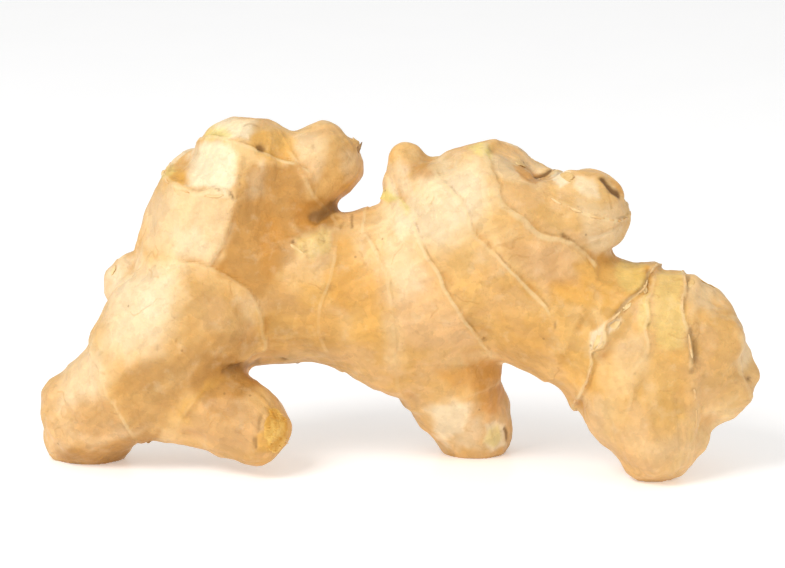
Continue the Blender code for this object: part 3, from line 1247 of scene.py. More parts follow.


# Each row: the strength, the soft edge, and then the column and row of every corner
# A wash tints an area of the front; some are the skin's own colour, some painted highlights and painted
# shade
WASHES = {
    StainAndShading.WORN: washes(
        (0.9, 5, 680, 368, 706, 368, 716, 480, 676, 480),
        (0.6, 5, 618, 360, 652, 352, 652, 440, 610, 440),
        (0.7, 5, 380, 300, 402, 300, 406, 400, 386, 400),
    ),
    # Cream: pale patches of the skin, and painted highlights on the upper left faces of the tower, the
    # left lobe and the hump
    StainAndShading.CREAM_AND_HIGHLIGHT: washes(
        (0.85, 5, 196, 146, 206, 141, 230, 144, 235, 152, 234, 175, 231, 195, 218, 193, 203, 192, 190,
         186, 191, 165),
        (0.25, 8, 150, 195, 170, 189, 235, 197, 230, 225, 222, 245, 210, 268, 190, 262, 165, 255, 140,
         250, 145, 215),
        (0.5, 12, 168, 222, 205, 225, 215, 245, 205, 262, 172, 252),
        (0.8, 5, 215, 124, 240, 118, 254, 122, 250, 138, 232, 140, 212, 132),
        (0.25, 6, 298, 134, 318, 130, 328, 140, 325, 160, 317, 178, 306, 168, 297, 150),
        (0.3, 3, 259, 158, 266, 160, 264, 170, 258, 178),
        (0.14, 6, 290, 236, 312, 229, 338, 229, 336, 258, 322, 280, 298, 274, 284, 260),
        (0.6, 16, 116, 275, 150, 264, 180, 270, 172, 315, 155, 345, 130, 356, 104, 350, 108, 310),
        (0.75, 12, 134, 285, 160, 284, 162, 320, 134, 330),
        (0.2, 8, 234, 290, 252, 304, 260, 324, 240, 318),
        (0.4, 5, 388, 168, 398, 154, 408, 170, 400, 195, 386, 190),
        (0.6, 16, 380, 208, 400, 192, 440, 168, 480, 158, 488, 176, 490, 205, 465, 232, 440, 252, 425,
         246, 405, 238, 385, 232),
        (0.7, 10, 384, 214, 412, 210, 420, 236, 396, 244),
        (0.8, 1.5, 550, 178, 560, 171, 572, 173, 571, 182, 560, 188),
        (0.6, 4, 577, 177, 596, 179, 600, 196, 588, 200, 578, 190),
        (0.7, 2, 590, 332, 604, 323, 602, 345, 592, 352),
        (0.6, 2, 608, 321, 621, 318, 618, 329, 608, 335),
        (0.25, 7, 612, 356, 630, 332, 648, 336, 648, 360, 630, 396, 610, 402),
        (0.55, 7, 731, 318, 745, 338, 749, 362, 743, 370, 734, 350),
        (0.8, 7, 428, 408, 452, 400, 470, 406, 466, 430, 450, 448, 438, 440),
        (0.9, 3, 484, 424, 503, 424, 507, 446, 490, 452, 484, 440),
        (0.3, 6, 576, 200, 618, 204, 620, 240, 580, 236),
        (0.35, 9, 690, 280, 712, 286, 720, 310, 694, 312),
        (0.3, 5, 340, 150, 358, 152, 360, 176, 344, 184),
        (0.35, 10, 378, 228, 420, 240, 424, 290, 396, 302, 384, 270),
        (0.2, 8, 382, 316, 401, 320, 404, 374, 388, 372),
        (0.35, 10, 60, 368, 92, 338, 106, 366, 102, 400, 60, 410),
        (0.5, 4, 386, 180, 408, 177, 412, 196, 390, 198),
        (0.5, 6, 584, 234, 622, 228, 624, 250, 594, 258),
        (0.5, 5, 114, 256, 142, 252, 146, 268, 124, 276),
        (0.6, 4, 186, 154, 202, 152, 202, 176, 187, 178),
        (0.45, 6, 454, 420, 480, 418, 480, 450, 456, 450),
        (0.22, 6, 250, 168, 266, 170, 264, 198, 247, 198),
        (0.45, 6, 436, 156, 462, 152, 462, 178, 440, 182),
        (0.4, 6, 490, 154, 518, 156, 546, 168, 540, 184, 512, 178, 494, 172),
        (0.7, 8, 104, 268, 126, 262, 124, 290, 104, 296),
    ),
    StainAndShading.GREEN: washes(
        (0.7, 3, 203, 134, 215, 128, 228, 128, 232, 136, 222, 140, 206, 140),
        (0.5, 3, 155, 166, 168, 161, 174, 168, 165, 180, 152, 184),
        (0.3, 4, 296, 236, 330, 232, 334, 250, 312, 262, 294, 254),
        (0.85, 3, 382, 190, 392, 188, 402, 198, 392, 202, 383, 200),
        (0.7, 2, 400, 200, 405, 202, 413, 214, 409, 218, 403, 210),
        (0.7, 3, 470, 150, 482, 144, 494, 150, 492, 160, 480, 156),
        (0.4, 4, 618, 260, 640, 260, 648, 270, 640, 288, 626, 292, 618, 280),
        (0.4, 3, 638, 302, 648, 294, 651, 328, 640, 334),
        (0.35, 4, 657, 272, 683, 274, 684, 320, 686, 346, 656, 346, 652, 310),
        (0.6, 2, 486, 428, 498, 425, 502, 440, 492, 448, 484, 440),
    ),
    StainAndShading.GOLD: washes(
        (0.9, 2, 166, 173, 174, 166, 181, 165, 184, 176, 184, 186, 175, 186, 167, 180),
        (0.6, 4, 246, 136, 262, 128, 288, 134, 295, 150, 292, 164, 270, 158, 250, 148),
        (0.5, 8, 340, 240, 352, 236, 362, 262, 380, 285, 377, 311, 350, 311, 332, 298, 334, 275),
        (0.35, 6, 350, 312, 384, 302, 388, 345, 352, 340),
        (0.6, 5, 186, 408, 206, 392, 224, 380, 214, 378, 194, 394, 178, 414, 184, 426),
        (0.7, 2, 267, 406, 280, 414, 287, 430, 282, 446, 268, 453, 257, 452, 256, 436, 268, 426),
        (0.25, 12, 455, 252, 490, 264, 540, 304, 556, 332, 540, 352, 500, 356, 482, 340, 464, 314, 442,
         276),
        (0.6, 4, 576, 264, 600, 254, 640, 260, 650, 271, 645, 294, 612, 318, 602, 322, 598, 292, 580,
         290),
        (0.8, 4, 602, 284, 620, 280, 612, 304, 598, 314),
        (0.45, 6, 560, 312, 590, 302, 598, 322, 588, 350, 572, 370, 556, 350),
        (0.45, 9, 650, 352, 690, 348, 690, 400, 680, 436, 650, 436, 655, 400),
        (0.2, 8, 402, 366, 490, 362, 490, 400, 476, 408, 468, 390, 420, 388),
        (0.65, 7, 548, 284, 596, 278, 600, 306, 556, 310),
        (0.5, 10, 302, 268, 346, 268, 346, 306, 305, 306),
        (0.35, 10, 255, 312, 342, 312, 342, 350, 258, 350),
        (0.7, 7, 552, 350, 596, 352, 600, 392, 572, 394),
        (0.35, 8, 600, 352, 632, 350, 634, 396, 606, 400),
        (0.65, 8, 608, 356, 640, 356, 640, 396, 612, 400),
    ),
    StainAndShading.ROSE: washes(
        (0.4, 8, 150, 195, 235, 197, 228, 230, 212, 262, 160, 255, 142, 240),
        (0.5, 6, 44, 398, 75, 362, 96, 350, 104, 400, 130, 434, 95, 455, 60, 460, 46, 440),
        (0.6, 9, 202, 398, 250, 396, 258, 432, 252, 456, 216, 452, 190, 438),
        (0.6, 8, 400, 252, 430, 266, 448, 300, 476, 342, 440, 350, 402, 346, 396, 300),
        (0.5, 7, 502, 240, 560, 246, 590, 262, 580, 284, 556, 296, 522, 270),
        (0.4, 8, 612, 424, 690, 424, 680, 460, 650, 476, 630, 468),
    ),
    # Tan: tan patches, and painted shade on the tower's right side, on the lower faces, in the creases,
    # and a painted contact shadow at the left lobe's base
    StainAndShading.TAN: washes(
        (0.95, 5, 248, 162, 300, 170, 312, 205, 300, 225, 285, 235, 280, 262, 262, 300, 240, 286, 216,
         272, 226, 246, 239, 204),
        (0.3, 5, 328, 140, 355, 148, 358, 178, 345, 198, 325, 206, 308, 192, 320, 168),
        (0.9, 4, 300, 196, 330, 202, 329, 214, 312, 222, 300, 226, 290, 214),
        (0.65, 12, 275, 288, 328, 292, 345, 352, 270, 354, 268, 320),
        (0.4, 10, 190, 286, 235, 284, 262, 322, 262, 345, 235, 356, 205, 360, 178, 350, 174, 320),
        (0.8, 12, 205, 330, 262, 330, 262, 345, 240, 356, 208, 362, 190, 372, 160, 395, 112, 402, 108,
         388, 128, 368, 190, 342),
        (0.6, 10, 115, 388, 188, 368, 205, 374, 188, 396, 165, 426, 130, 432, 112, 405),
        (0.5, 4, 78, 396, 102, 396, 122, 424, 92, 440, 76, 430),
        (0.7, 4, 200, 372, 238, 368, 262, 388, 235, 391, 205, 386),
        (0.75, 9, 200, 390, 232, 388, 240, 412, 232, 424, 202, 420),
        (0.4, 9, 202, 392, 250, 392, 258, 432, 252, 456, 216, 452, 190, 438),
        (0.6, 4, 409, 160, 422, 157, 436, 166, 434, 177, 424, 183, 411, 176),
        (0.5, 2, 590, 270, 598, 266, 592, 300, 580, 330, 574, 328, 584, 300),
        (0.5, 2, 618, 300, 629, 291, 614, 316, 607, 318),
        (0.5, 5, 576, 266, 602, 254, 616, 262, 606, 290, 582, 288),
        (0.15, 8, 690, 287, 718, 302, 734, 330, 744, 370, 735, 398, 706, 412, 696, 380, 692, 322),
        (0.9, 8, 286, 196, 330, 198, 334, 206, 318, 214, 300, 222, 286, 214),
        (0.6, 5, 226, 270, 244, 274, 262, 262, 290, 288, 300, 340, 272, 352, 270, 322, 262, 298, 247,
         282),
        (1.0, 7, 196, 352, 240, 350, 250, 366, 262, 388, 244, 402, 210, 402, 190, 388),
        (0.8, 6, 294, 222, 334, 214, 336, 232, 320, 240, 298, 240),
        (1.0, 6, 262, 226, 294, 232, 296, 262, 262, 274),
        (0.9, 5, 60, 450, 108, 444, 160, 426, 158, 444, 124, 464, 62, 464),
        (0.65, 3, 634, 268, 650, 268, 648, 290, 634, 292),
        (0.5, 9, 290, 222, 342, 222, 350, 270, 352, 308, 302, 308, 292, 262),
        (0.75, 7, 548, 276, 590, 270, 592, 302, 552, 308),
        (0.45, 6, 500, 234, 528, 240, 530, 260, 504, 256),
        (0.35, 6, 148, 332, 174, 332, 174, 352, 150, 354),
        (0.5, 8, 338, 270, 352, 270, 352, 308, 338, 308),
        (0.42, 9, 496, 312, 552, 322, 562, 366, 520, 362, 494, 344),
        (0.6, 7, 184, 312, 204, 312, 206, 340, 184, 340),
        (0.3, 6, 498, 220, 524, 222, 526, 242, 500, 240),
        (0.45, 7, 182, 408, 204, 404, 208, 436, 188, 436),
        (0.5, 6, 308, 154, 332, 158, 330, 180, 310, 180),
        (0.6, 6, 466, 360, 494, 362, 496, 390, 472, 388),
        (0.75, 8, 326, 282, 346, 280, 348, 308, 328, 310),
    ),
    # Orange: orange patches, and painted shade in the crotch between the tower and the saddle and under
    # the main body
    StainAndShading.ORANGE_AND_SHADE: washes(
        (0.42, 6, 264, 212, 280, 216, 279, 250, 274, 278, 262, 278, 258, 250),
        (0.3, 8, 340, 240, 352, 236, 364, 262, 380, 285, 377, 311, 350, 311, 334, 296),
        (0.35, 3, 414, 162, 428, 162, 432, 174, 422, 180),
        (0.75, 2, 514, 160, 523, 160, 532, 170, 545, 174, 549, 178, 536, 183, 522, 177),
        (0.6, 2, 606, 178, 618, 184, 623, 197, 614, 192),
        (0.6, 2, 642, 270, 650, 272, 648, 290, 641, 288),
        (0.6, 3, 480, 358, 494, 362, 502, 390, 500, 415, 482, 412, 476, 385),
        (0.6, 6, 290, 198, 320, 203, 332, 204, 332, 218, 312, 228, 296, 222),
        (0.5, 6, 436, 368, 498, 362, 500, 392, 450, 386),
    ),
    # Brown: dark dots and ring lines, and painted shade in the crotch, the notch and the crease under the
    # left lobe's edge, with a painted contact shadow under the left lobe
    StainAndShading.BROWN: washes(
        (0.3, 2.5, 526, 175, 538, 176, 546, 176, 540, 181, 530, 181),
        (0.36, 8, 302, 216, 308, 206, 322, 200, 338, 194, 340, 210, 326, 221, 310, 228),
        (0.75, 3, 309, 215, 322, 205, 337, 198, 340, 209, 326, 219, 316, 225, 310, 221),
        (0.6, 1.5, 350, 214, 354, 214, 354, 229, 351, 229),
        (0.45, 1.5, 343, 221, 346, 222, 342, 231, 339, 229),
        (0.5, 3, 220, 364, 240, 361, 262, 358, 262, 364, 240, 372, 222, 376),
        (0.35, 2, 744, 373, 751, 374, 753, 381, 747, 383),
        (0.22, 8, 200, 356, 240, 352, 252, 384, 240, 398, 212, 396, 198, 380),
        (0.2, 7, 292, 218, 334, 210, 336, 226, 318, 236, 296, 238),
        (0.12, 6, 262, 226, 286, 232, 288, 262, 262, 274),
        (0.2, 4, 62, 457, 126, 450, 124, 466, 62, 466),
        (0.5, 2, 688, 370, 690, 367, 693, 367, 694, 370, 693, 374, 690, 374),
        (0.45, 2, 690, 389, 692, 386, 695, 386, 697, 389, 695, 393, 692, 393),
        (0.25, 2, 701, 374, 703, 371, 706, 371, 707, 374, 706, 378, 703, 378),
        (0.5, 2.5, 686, 326, 692, 326, 698, 345, 697, 364, 690, 364, 687, 345),
    ),
}


@dataclass(frozen=True)
class Crumple:
    """A wrinkled and flaky area of the front: its middle and half sizes in pixels, its height in mm."""

    column: float
    row: float
    across: float
    down: float
    height: float


CRUMPLES = (
    Crumple(312, 246, 32, 28, 0.8),
    Crumple(595, 335, 26, 34, 0.4),
    Crumple(540, 178, 30, 14, 0.3),
    Crumple(275, 430, 16, 26, 0.4),
    Crumple(640, 275, 20, 12, 0.3),
    Crumple(200, 408, 26, 22, 0.25),
    Crumple(375, 345, 18, 16, 0.2),
)


@dataclass(frozen=True)
class Swell:
    """A soft rise or, below zero, a dent: its middle in pixels, its reach and its height in mm."""

    column: float
    row: float
    reach: float
    height: float


SWELLS = (
    Swell(742, 350, 3.0, 1.3),
    Swell(515, 156, 4.5, -1.3),
    Swell(445, 162, 3.0, -1.3),
    Swell(409, 151, 3.0, -0.8),
    Swell(433, 166, 2.5, 0.6),
    Swell(388, 200, 2.5, 1.5),
    Swell(615, 190, 2.5, 1.3),
    Swell(622, 228, 2.5, -0.6),
    Swell(733, 338, 4.5, 2.6),
    Swell(745, 360, 3.0, 1.2),
    Swell(718, 302, 3.5, -1.3),
    Swell(695, 281, 3.0, 0.9),
    Swell(497, 372, 3.0, 1.2),
    Swell(184, 162, 4.0, -1.2),
    Swell(192, 438, 4.0, -0.9),
    Swell(285, 416, 4.0, -0.9),
    Swell(676, 462, 3.5, -0.9),
    Swell(147, 226, 4.0, -0.9),
    Swell(120, 266, 2.5, 0.7),
    Swell(326, 361, 4.5, -0.7),
    Swell(573, 404, 3.0, -0.9),
)


@dataclass(frozen=True)
class Layer:
    """One layer of the skin's unevenness: its height, the length of its features and its seed.

    Where ridge is above zero the layer is sharp ridges that start at that share of its height.
    """

    height: float
    size: float
    seed: float
    ridge: float = 0.0

    def at(self, points: np.ndarray) -> np.ndarray:
        """The layer's lift at each point, in millimetres."""
        wave = noise_at(points, self.size, self.seed)
        return self.height * (self.ridge - np.abs(wave) if self.ridge else wave)


UNEVEN = (
    Layer(0.38, 12.0, 2.6),
    Layer(0.65, 9.0, 3.3, 0.3),
    Layer(0.42, 4.6, 7.9, 0.25),
    Layer(0.28, 5.5, 4.3),
    Layer(0.18, 2.4, 6.1),
)
# How far the edge of a wash wanders across and down the main view, in pixels
ASIDE = (Layer(5, 6.0, 12.5), Layer(4, 2.2, 13.5))
BELOW = (Layer(5, 6.0, 22.5), Layer(4, 2.2, 23.5))


@dataclass(frozen=True)
class Clouds:
    """How a tint is scattered over the sides that the main view doesn't see.

    It takes strength, and more where the skin faces up, a painted highlight on the top, and where it
    faces down, painted shade underneath. Its clouds have a size and a seed, and they come in as the noise
    rises over a span.
    """

    strength: float
    size: float
    seed: float
    span: Span
    top_highlight: float = 0.0
    underside_shade: float = 0.0

    def share(self, points: np.ndarray, up: np.ndarray, down: np.ndarray) -> np.ndarray:
        """How strongly each point is tinted.

        Args:
            points: Rows of x, y, z in millimetres.
            up: How far the skin faces up at each.
            down: How far it faces down.

        Returns:
            One value for each row.
        """
        strength = self.strength + self.top_highlight * up + self.underside_shade * down
        return strength * smooth_step(noise_at(points, self.size, self.seed), *self.span)


# Cream on the faces that look up is a painted highlight, and tan on the faces that look down is painted
# shade; the other clouds are the skin's own colour
CLOUDS = {
    StainAndShading.CREAM_AND_HIGHLIGHT: Clouds(0.25, 15.0, 41.0, (-0.2, 0.5), top_highlight=0.45),
    StainAndShading.ROSE: Clouds(0.6, 13.0, 43.0, (-0.1, 0.4)),
    StainAndShading.GOLD: Clouds(0.4, 12.0, 45.0, (0.0, 0.5)),
    StainAndShading.TAN: Clouds(0.2, 10.0, 47.0, (-0.3, 0.4), underside_shade=0.5),
    StainAndShading.GREEN: Clouds(0.25, 7.0, 49.0, (0.35, 0.6)),
}


@dataclass
class Lines:
    """The line nearest to each point of the skin, among its rings and folds."""

    count: int
    clip: float = 4.0
    fade: Span = (2.4, 3.4)
    nearest: np.ndarray = field(init=False)
    second: np.ndarray = field(init=False)
    signed: np.ndarray = field(init=False)
    mark: np.ndarray = field(init=False)

    def __post_init__(self) -> None:
        """Starts with no line near any point."""
        self.nearest, self.second = np.full(self.count, FAR), np.full(self.count, FAR)
        self.signed, self.mark = np.full(self.count, self.clip), np.zeros(self.count)

    def take(self, along: np.ndarray, held: np.ndarray, mark: float) -> None:
        """Sets a line against those that are already there.

        Args:
            along: The signed distance of each point from it.
            held: The share of it that is there at each point.
            mark: How strongly it is coloured.
        """
        away = np.where(held > 0.02, np.abs(along), FAR)
        closer = away < self.nearest
        self.second = np.where(closer, self.nearest, np.minimum(self.second, away))
        self.signed = np.where(closer, along, self.signed)
        self.mark = np.where(closer, held * mark, self.mark)
        self.nearest = np.minimum(self.nearest, away)

    def distance(self) -> np.ndarray:
        """The signed distance to the nearest line, held to a few millimetres."""
        return np.clip(self.signed, -self.clip, self.clip)

    def share(self) -> np.ndarray:
        """How much of its line each point shows: none far from it, or where two lines are as near."""
        alone = smooth_step(self.second - self.nearest, 0.1, 0.8)
        return self.mark * alone * (1 - smooth_step(self.nearest, *self.fade))


@dataclass
class Skin:
    """The whole skin of the root, in finer relief than the solid under it."""

    view: MainView
    finish: RootSkin = RootSkin()
    rings: tuple[Ring, ...] = RINGS
    folds: tuple[Fold, ...] = FOLDS
    slits: tuple[Slit, ...] = SLITS
    fingers: tuple[Finger, ...] = FINGERS
    washes: dict[StainAndShading, tuple[Wash, ...]] = field(default_factory=lambda: WASHES)
    crumples: tuple[Crumple, ...] = CRUMPLES
    swells: tuple[Swell, ...] = SWELLS
    voxel: float = 0.58 * MM
    smoothing: int = 13
    ring_edge: float = 0.55
    ring_slope: float = 2.6
    rise_scale: float = 0.7
    groove: float = 0.45
    groove_reach: float = 0.9
    fibre_size: float = 1.2
    strand_size: float = 3.0
    fibre_stretch: float = 0.16
    fibre_lift: float = 0.05
    fold_taper: float = 4.0
    slit_taper: float = 1.2
    wear_passes: int = 90
    firm_edge: float = 4.0
    seat_height: float = 0.35
    plain: Surface = field(init=False)
    surface: Surface = field(init=False)

    def refined_copy(self) -> Piece:
        """The solid's surface again, merged, with small even faces and its facets smoothed away.

        Returns:
            The copy.
        """
        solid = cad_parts[NODE]
        piece = bpy.data.objects.new("ginger_skin", solid.data.copy())
        bpy.context.scene.collection.objects.link(piece)
        merge_doubles(piece, 0.002)
        apply_modifier(piece, "REMESH", mode="VOXEL", voxel_size=self.voxel, use_smooth_shade=True)
        apply_modifier(piece, "SMOOTH", factor=0.5, iterations=self.smoothing)
        return piece

    def edge_relief(self, along: np.ndarray, rise: float, slope: float) -> np.ndarray:
        """How far an edge lifts each point: a slope up to its rim, then a step into a fine groove.

        Args:
            along: The distance of each point past the edge, in millimetres.
            rise: The height of the rim.
            slope: How far back it reaches.

        Returns:
            One lift for each point, in millimetres.
        """
        up = rise * np.exp(np.minimum(along, 0) / slope)
        fall = smooth_step(along, 0, self.ring_edge)
        past = np.maximum(along - self.ring_edge, 0)
        groove = -self.groove * rise * np.exp(-past / self.groove_reach)
        return up * (1 - fall) + groove * fall

    def fibre_run(self, points: np.ndarray) -> np.ndarray:
        """Noise drawn out along the fingers.

        Args:
            points: Rows of x, y, z in millimetres.

        Returns:
            One value for each row, from about -1 to 1.
        """
        total, weights = np.zeros(len(points)), np.full(len(points), TINY)
        for number, finger in enumerate(self.fingers):
            start, end = np.array(finger.start, float), np.array(finger.end, float)
            length = np.linalg.norm(end - start)
            way = (end - start) / length
            along = (points - start) @ way
            foot = start + np.clip(along, 0, length)[:, None] * way
            away = np.linalg.norm(points - foot, axis=1) / finger.radius
            weight = np.exp(-4 * away**2)
            near = weight > 0.002
            spread = points[near] - start - along[near, None] * way
            spread *= finger.radius / (np.linalg.norm(spread, axis=1)[:, None] + 1e-6)
            drawn = spread + along[near, None] * way * self.fibre_stretch
            strands = 0.5 * noise_at(drawn, self.strand_size, 25.0 + number)
            run = noise_at(drawn, self.fibre_size, 5.0 + number) + strands
            total[near] += weight[near] * run
            weights[near] += weight[near]
        return total / weights

    def reach_of(self, points: np.ndarray, area: Crumple, surface: Surface) -> np.ndarray:
        """How far each point is from the middle of an area, as a share of the area's half sizes.

        Args:
            points: Rows of x, y, z in millimetres.
            area: The area, in columns and rows of the main view.
            surface: The skin that it is cast on to.

        Returns:
            One value for each row: below one inside the area, and above one outside it.
        """
        place, _ = surface.seen_at(area.column, area.row)
        pixel = self.view.distance / self.view.focal_length / MM
        deep = 1.4 * max(area.across, area.down)
        across, back, down = ((points - np.array(place)) / pixel).T
        return np.sqrt((across / area.across) ** 2 + (down / area.down) ** 2 + (back / deep) ** 2)

    def write(self, piece: Piece, name: str, values: np.ndarray) -> None:
        """Keeps one number for each vertex in the piece's mesh."""
        attribute = piece.data.attributes.new(name, "FLOAT", "POINT")
        attribute.data.foreach_set("value", values.astype(np.float32))

    def crease_depth(self, piece: Piece) -> np.ndarray:
        """How deep each vertex lies in a crease.

        Args:
            piece: The skin.

        Returns:
            The distance below the surface that heavy smoothing would leave, in millimetres.
        """
        worn = bpy.data.objects.new("worn", piece.data.copy())
        bpy.context.scene.collection.objects.link(worn)
        apply_modifier(worn, "SMOOTH", factor=0.5, iterations=self.wear_passes)
        depth = np.sum((points_of(worn) - points_of(piece)) * normals_of(piece), axis=1)
        bpy.data.objects.remove(worn, do_unlink=True)
        return depth

    def crumpled(self, points: np.ndarray, surface: Surface) -> np.ndarray:
        """The sharp little folds of the wrinkled areas.

        Args:
            points: Rows of x, y, z in millimetres.
            surface: The skin that the areas are cast on to.

        Returns:
            One lift for each row, in millimetres.
        """
        folds = 0.55 - np.abs(noise_at(points, 3.2, 31.0)) * 1.8 + 0.5 * noise_at(points, 1.3, 33.0)
        lift = np.zeros(len(points))
        for area in self.crumples:
            inside = 1 - smooth_step(self.reach_of(points, area, surface), 0.5, 1.1)
            lift += area.height * inside * folds
        return lift

    def swollen(self, points: np.ndarray, surface: Surface) -> np.ndarray:
        """The soft rises and dents near the outline.

        Args:
            points: Rows of x, y, z in millimetres.
            surface: The skin that their middles are cast on to.

        Returns:
            One lift for each row, in millimetres.
        """
        lift = np.zeros(len(points))
        for swell in self.swells:
            place, _ = surface.seen_at(swell.column, swell.row)
            away = np.linalg.norm(points - np.array(place), axis=1)
            lift += swell.height * np.exp(-((away / swell.reach) ** 2))
        return lift

    def stain_and_shade(self, points: np.ndarray, normals: np.ndarray) -> dict[StainAndShading, np.ndarray]:
        """How strongly each tint, stains and painted highlights and painted shade alike, colours each
        point: by its washes on the front, in clouds elsewhere.

        Args:
            points: Rows of x, y, z in millimetres.
            normals: The skin's normals at them.

        Returns:
            For each tint, one share for each point.
        """
        columns, rows = self.view.picture_of(points)
        aside = sum(layer.at(points) for layer in ASIDE)
        below = sum(layer.at(points) for layer in BELOW)
        front = smooth_step(-normals @ np.array(self.view.ahead()), -0.05, 0.22)
        shares = {stain_and_shade: np.zeros(len(points)) for stain_and_shade in StainAndShading}
        for stain_and_shade, washes in self.washes.items():
            for wash in washes:
                ragged = min(1.0, wash.soft / self.firm_edge)
                share = wash.share(columns + ragged * aside, rows + ragged * below)
                shares[stain_and_shade] = np.maximum(shares[stain_and_shade], front * share)
        # How far the skin faces up, for the painted highlight on top, and down, for the painted shade
        # underneath
        up = smooth_step(normals[:, 2], 0.0, 0.9)
        down = smooth_step(-normals[:, 2], -0.1, 0.8)
        for stain_and_shade, clouds in CLOUDS.items():
            share = clouds.share(points, up, down)
            shares[stain_and_shade] = np.maximum(shares[stain_and_shade], (1 - front) * share)
        return shares

    def build(self) -> Piece:
        """Makes the skin, in place of the plain solid.

        Returns:
            The skin.
        """
        piece = self.refined_copy()
        points, normals = points_of(piece), normals_of(piece)
        self.plain = Surface.of(piece, self.view)
        ragged = jagged(points)
        lines = Lines(len(points))
        fibre = self.fibre_run(points)
        stain_and_shade_shares = self.stain_and_shade(points, normals)
        whole = 1 - stain_and_shade_shares[StainAndShading.WORN]
        lift = sum(layer.at(points) for layer in UNEVEN)
        lift = lift + self.crumpled(points, self.plain) + self.swollen(points, self.plain)
        lift += self.fibre_lift * fibre
        for ring in self.rings:
            along, held = LaidRing.on(ring, self.plain).distance(points)
            held = held * whole
            lift += held * self.edge_relief(along, ring.rise * self.rise_scale, self.ring_slope)
            lines.take(along, held, ring.mark)
        for fold in self.folds:
            along, held = self.plain.laid(fold.trace).beside(points, taper=self.fold_taper)
            lift += held * self.edge_relief(along + ragged, fold.rise * self.rise_scale, fold.slope)
            lines.take(along + ragged, held * (fold.mark > 0), fold.mark)
        for slit in self.slits:
            away, held = self.plain.laid(slit.trace).beside(points, taper=self.slit_taper)
            inside = held * np.exp(-((away / slit.width) ** 2))
            lift -= slit.depth * inside
            # The slit's dark colour: painted shade in the groove, partly a dark line of the skin
            shade = slit.mark * np.minimum(1, 1.4 * inside)
            stain_and_shade_shares[StainAndShading.BROWN] = np.maximum(stain_and_shade_shares[StainAndShading.BROWN], shade)
        low, high = (np.array(corner) / MM for corner in CAD_BOX)
        moved = np.clip(points + normals * lift[:, None], low, high)
        moved[points[:, 2] < self.seat_height, 2] = 0.0
        move_points(piece, moved)
        self.surface = Surface.of(piece, self.view)
        self.write(piece, "fibre", fibre)
        self.write(piece, "ring", lines.distance())
        self.write(piece, "held", lines.share())
        self.write(piece, "crease", self.crease_depth(piece))
        for stain_and_shade, share in stain_and_shade_shares.items():
            self.write(piece, stain_and_shade.value, share)
        piece.data.shade_smooth()
        dress(piece, self.finish.material())
        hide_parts(NODE)
        return piece


# The pieces that lie on the skin


def joined(pieces: list[Piece], name: str) -> Piece:
    """Joins loose pieces into one object.

    Args:
        pieces: The pieces.
        name: The name of the whole.

    Returns:
        The whole.
    """
    bpy.ops.object.select_all(action="DESELECT")
    for piece in pieces:
        piece.select_set(True)
    bpy.context.view_layer.objects.active = pieces[0]
    bpy.ops.object.join()
    whole = bpy.context.active_object
    whole.name = whole.data.name = name
    return whole


def thicken(piece: Piece, thickness: float) -> None:
    """Gives a sheet its thickness, below its upper face, and closes its edges.

    Args:
        piece: The sheet.
        thickness: Its thickness in millimetres.
    """
    apply_modifier(piece, "SOLIDIFY", thickness=thickness * MM, offset=-1.0, use_rim=True)
    pick(piece)
    with edit_mode():
        bpy.ops.mesh.normals_make_consistent(inside=False)
    piece.data.shade_smooth()


@dataclass
class RimScales:
    """The torn papery scales that stand along a ring's line, all the way round its finger."""

    laid: LaidRing
    surface: Surface
    chance: random.Random
    width: float = 0.5
    lift: float = 0.1
    thickness: float = 0.1
    sink: float = 0.12

    def scale(self, line: list[tuple[Vector, Vector]]) -> Piece:
        """One scale, wide in its middle and pointed at its ends.

        Args:
            line: The stretch of the ring's line that it stands on, as places and normals.

        Returns:
            The scale.
        """
        rows, forward = len(line), Vector(self.laid.ring.way())
        grid = bpy.ops.mesh.primitive_grid_add
        sheet = started(grid, x_subdivisions=2, y_subdivisions=rows - 1, size=1)
        height, reach = self.chance.uniform(0.4, 1.0), self.chance.uniform(0.5, 1.2)
        points = np.empty((3 * rows, 3))
        for number, (place, normal) in enumerate(line):
            share = math.sin(math.pi * (number + 0.25) / (rows - 0.5)) ** 0.6
            ragged = 0.75 + 0.5 * noise.noise(place * 1.1)
            ahead = (forward - normal * forward.dot(normal)).normalized()
            back = place - ahead * self.width * reach * share * ragged - normal * self.sink
            middle_rise = 0.02 + self.lift * 0.5 * height * share
            middle = place - ahead * 0.3 * self.width * reach * share + normal * middle_rise
            edge_rise = self.lift * height * share - 0.02
            edge = place + ahead * (0.05 + 0.16 * share * ragged) + normal * edge_rise
            for column, corner in enumerate((back, middle, edge)):
                points[number * 3 + column] = corner
        move_points(sheet, points)
        thicken(sheet, self.thickness)
        return sheet

    def build(self, finish: PlainDryFinish) -> Piece | None:
        """Lays the scales along the line, with gaps between them.

        Args:
            finish: What they are made of.

        Returns:
            The piece, or None where the line has no room for a scale.
        """
        line = self.laid.line(self.surface)
        scales, start = [], self.chance.randrange(0, 6)
        while start < len(line):
            count = self.chance.randrange(4, 12)
            stretch = line[start : start + count]
            while None in stretch:
                stretch = stretch[: stretch.index(None)]
            if len(stretch) > 3:
                scales.append(self.scale(stretch))
            start += max(1, len(stretch)) + self.chance.randrange(2, 14)
        if not scales:
            return None
        piece = joined(scales, f"rim_scales_{self.laid.ring.name}")
        dress(piece, finish.material())
        return piece


@dataclass(frozen=True)
class Flake:
    """A loose flake on the front: its middle, half sizes and tilt in the main view, its curl in mm."""

    column: float
    row: float
    across: float
    down: float
    tilt: float = 0.0
    curl: float = 0.35


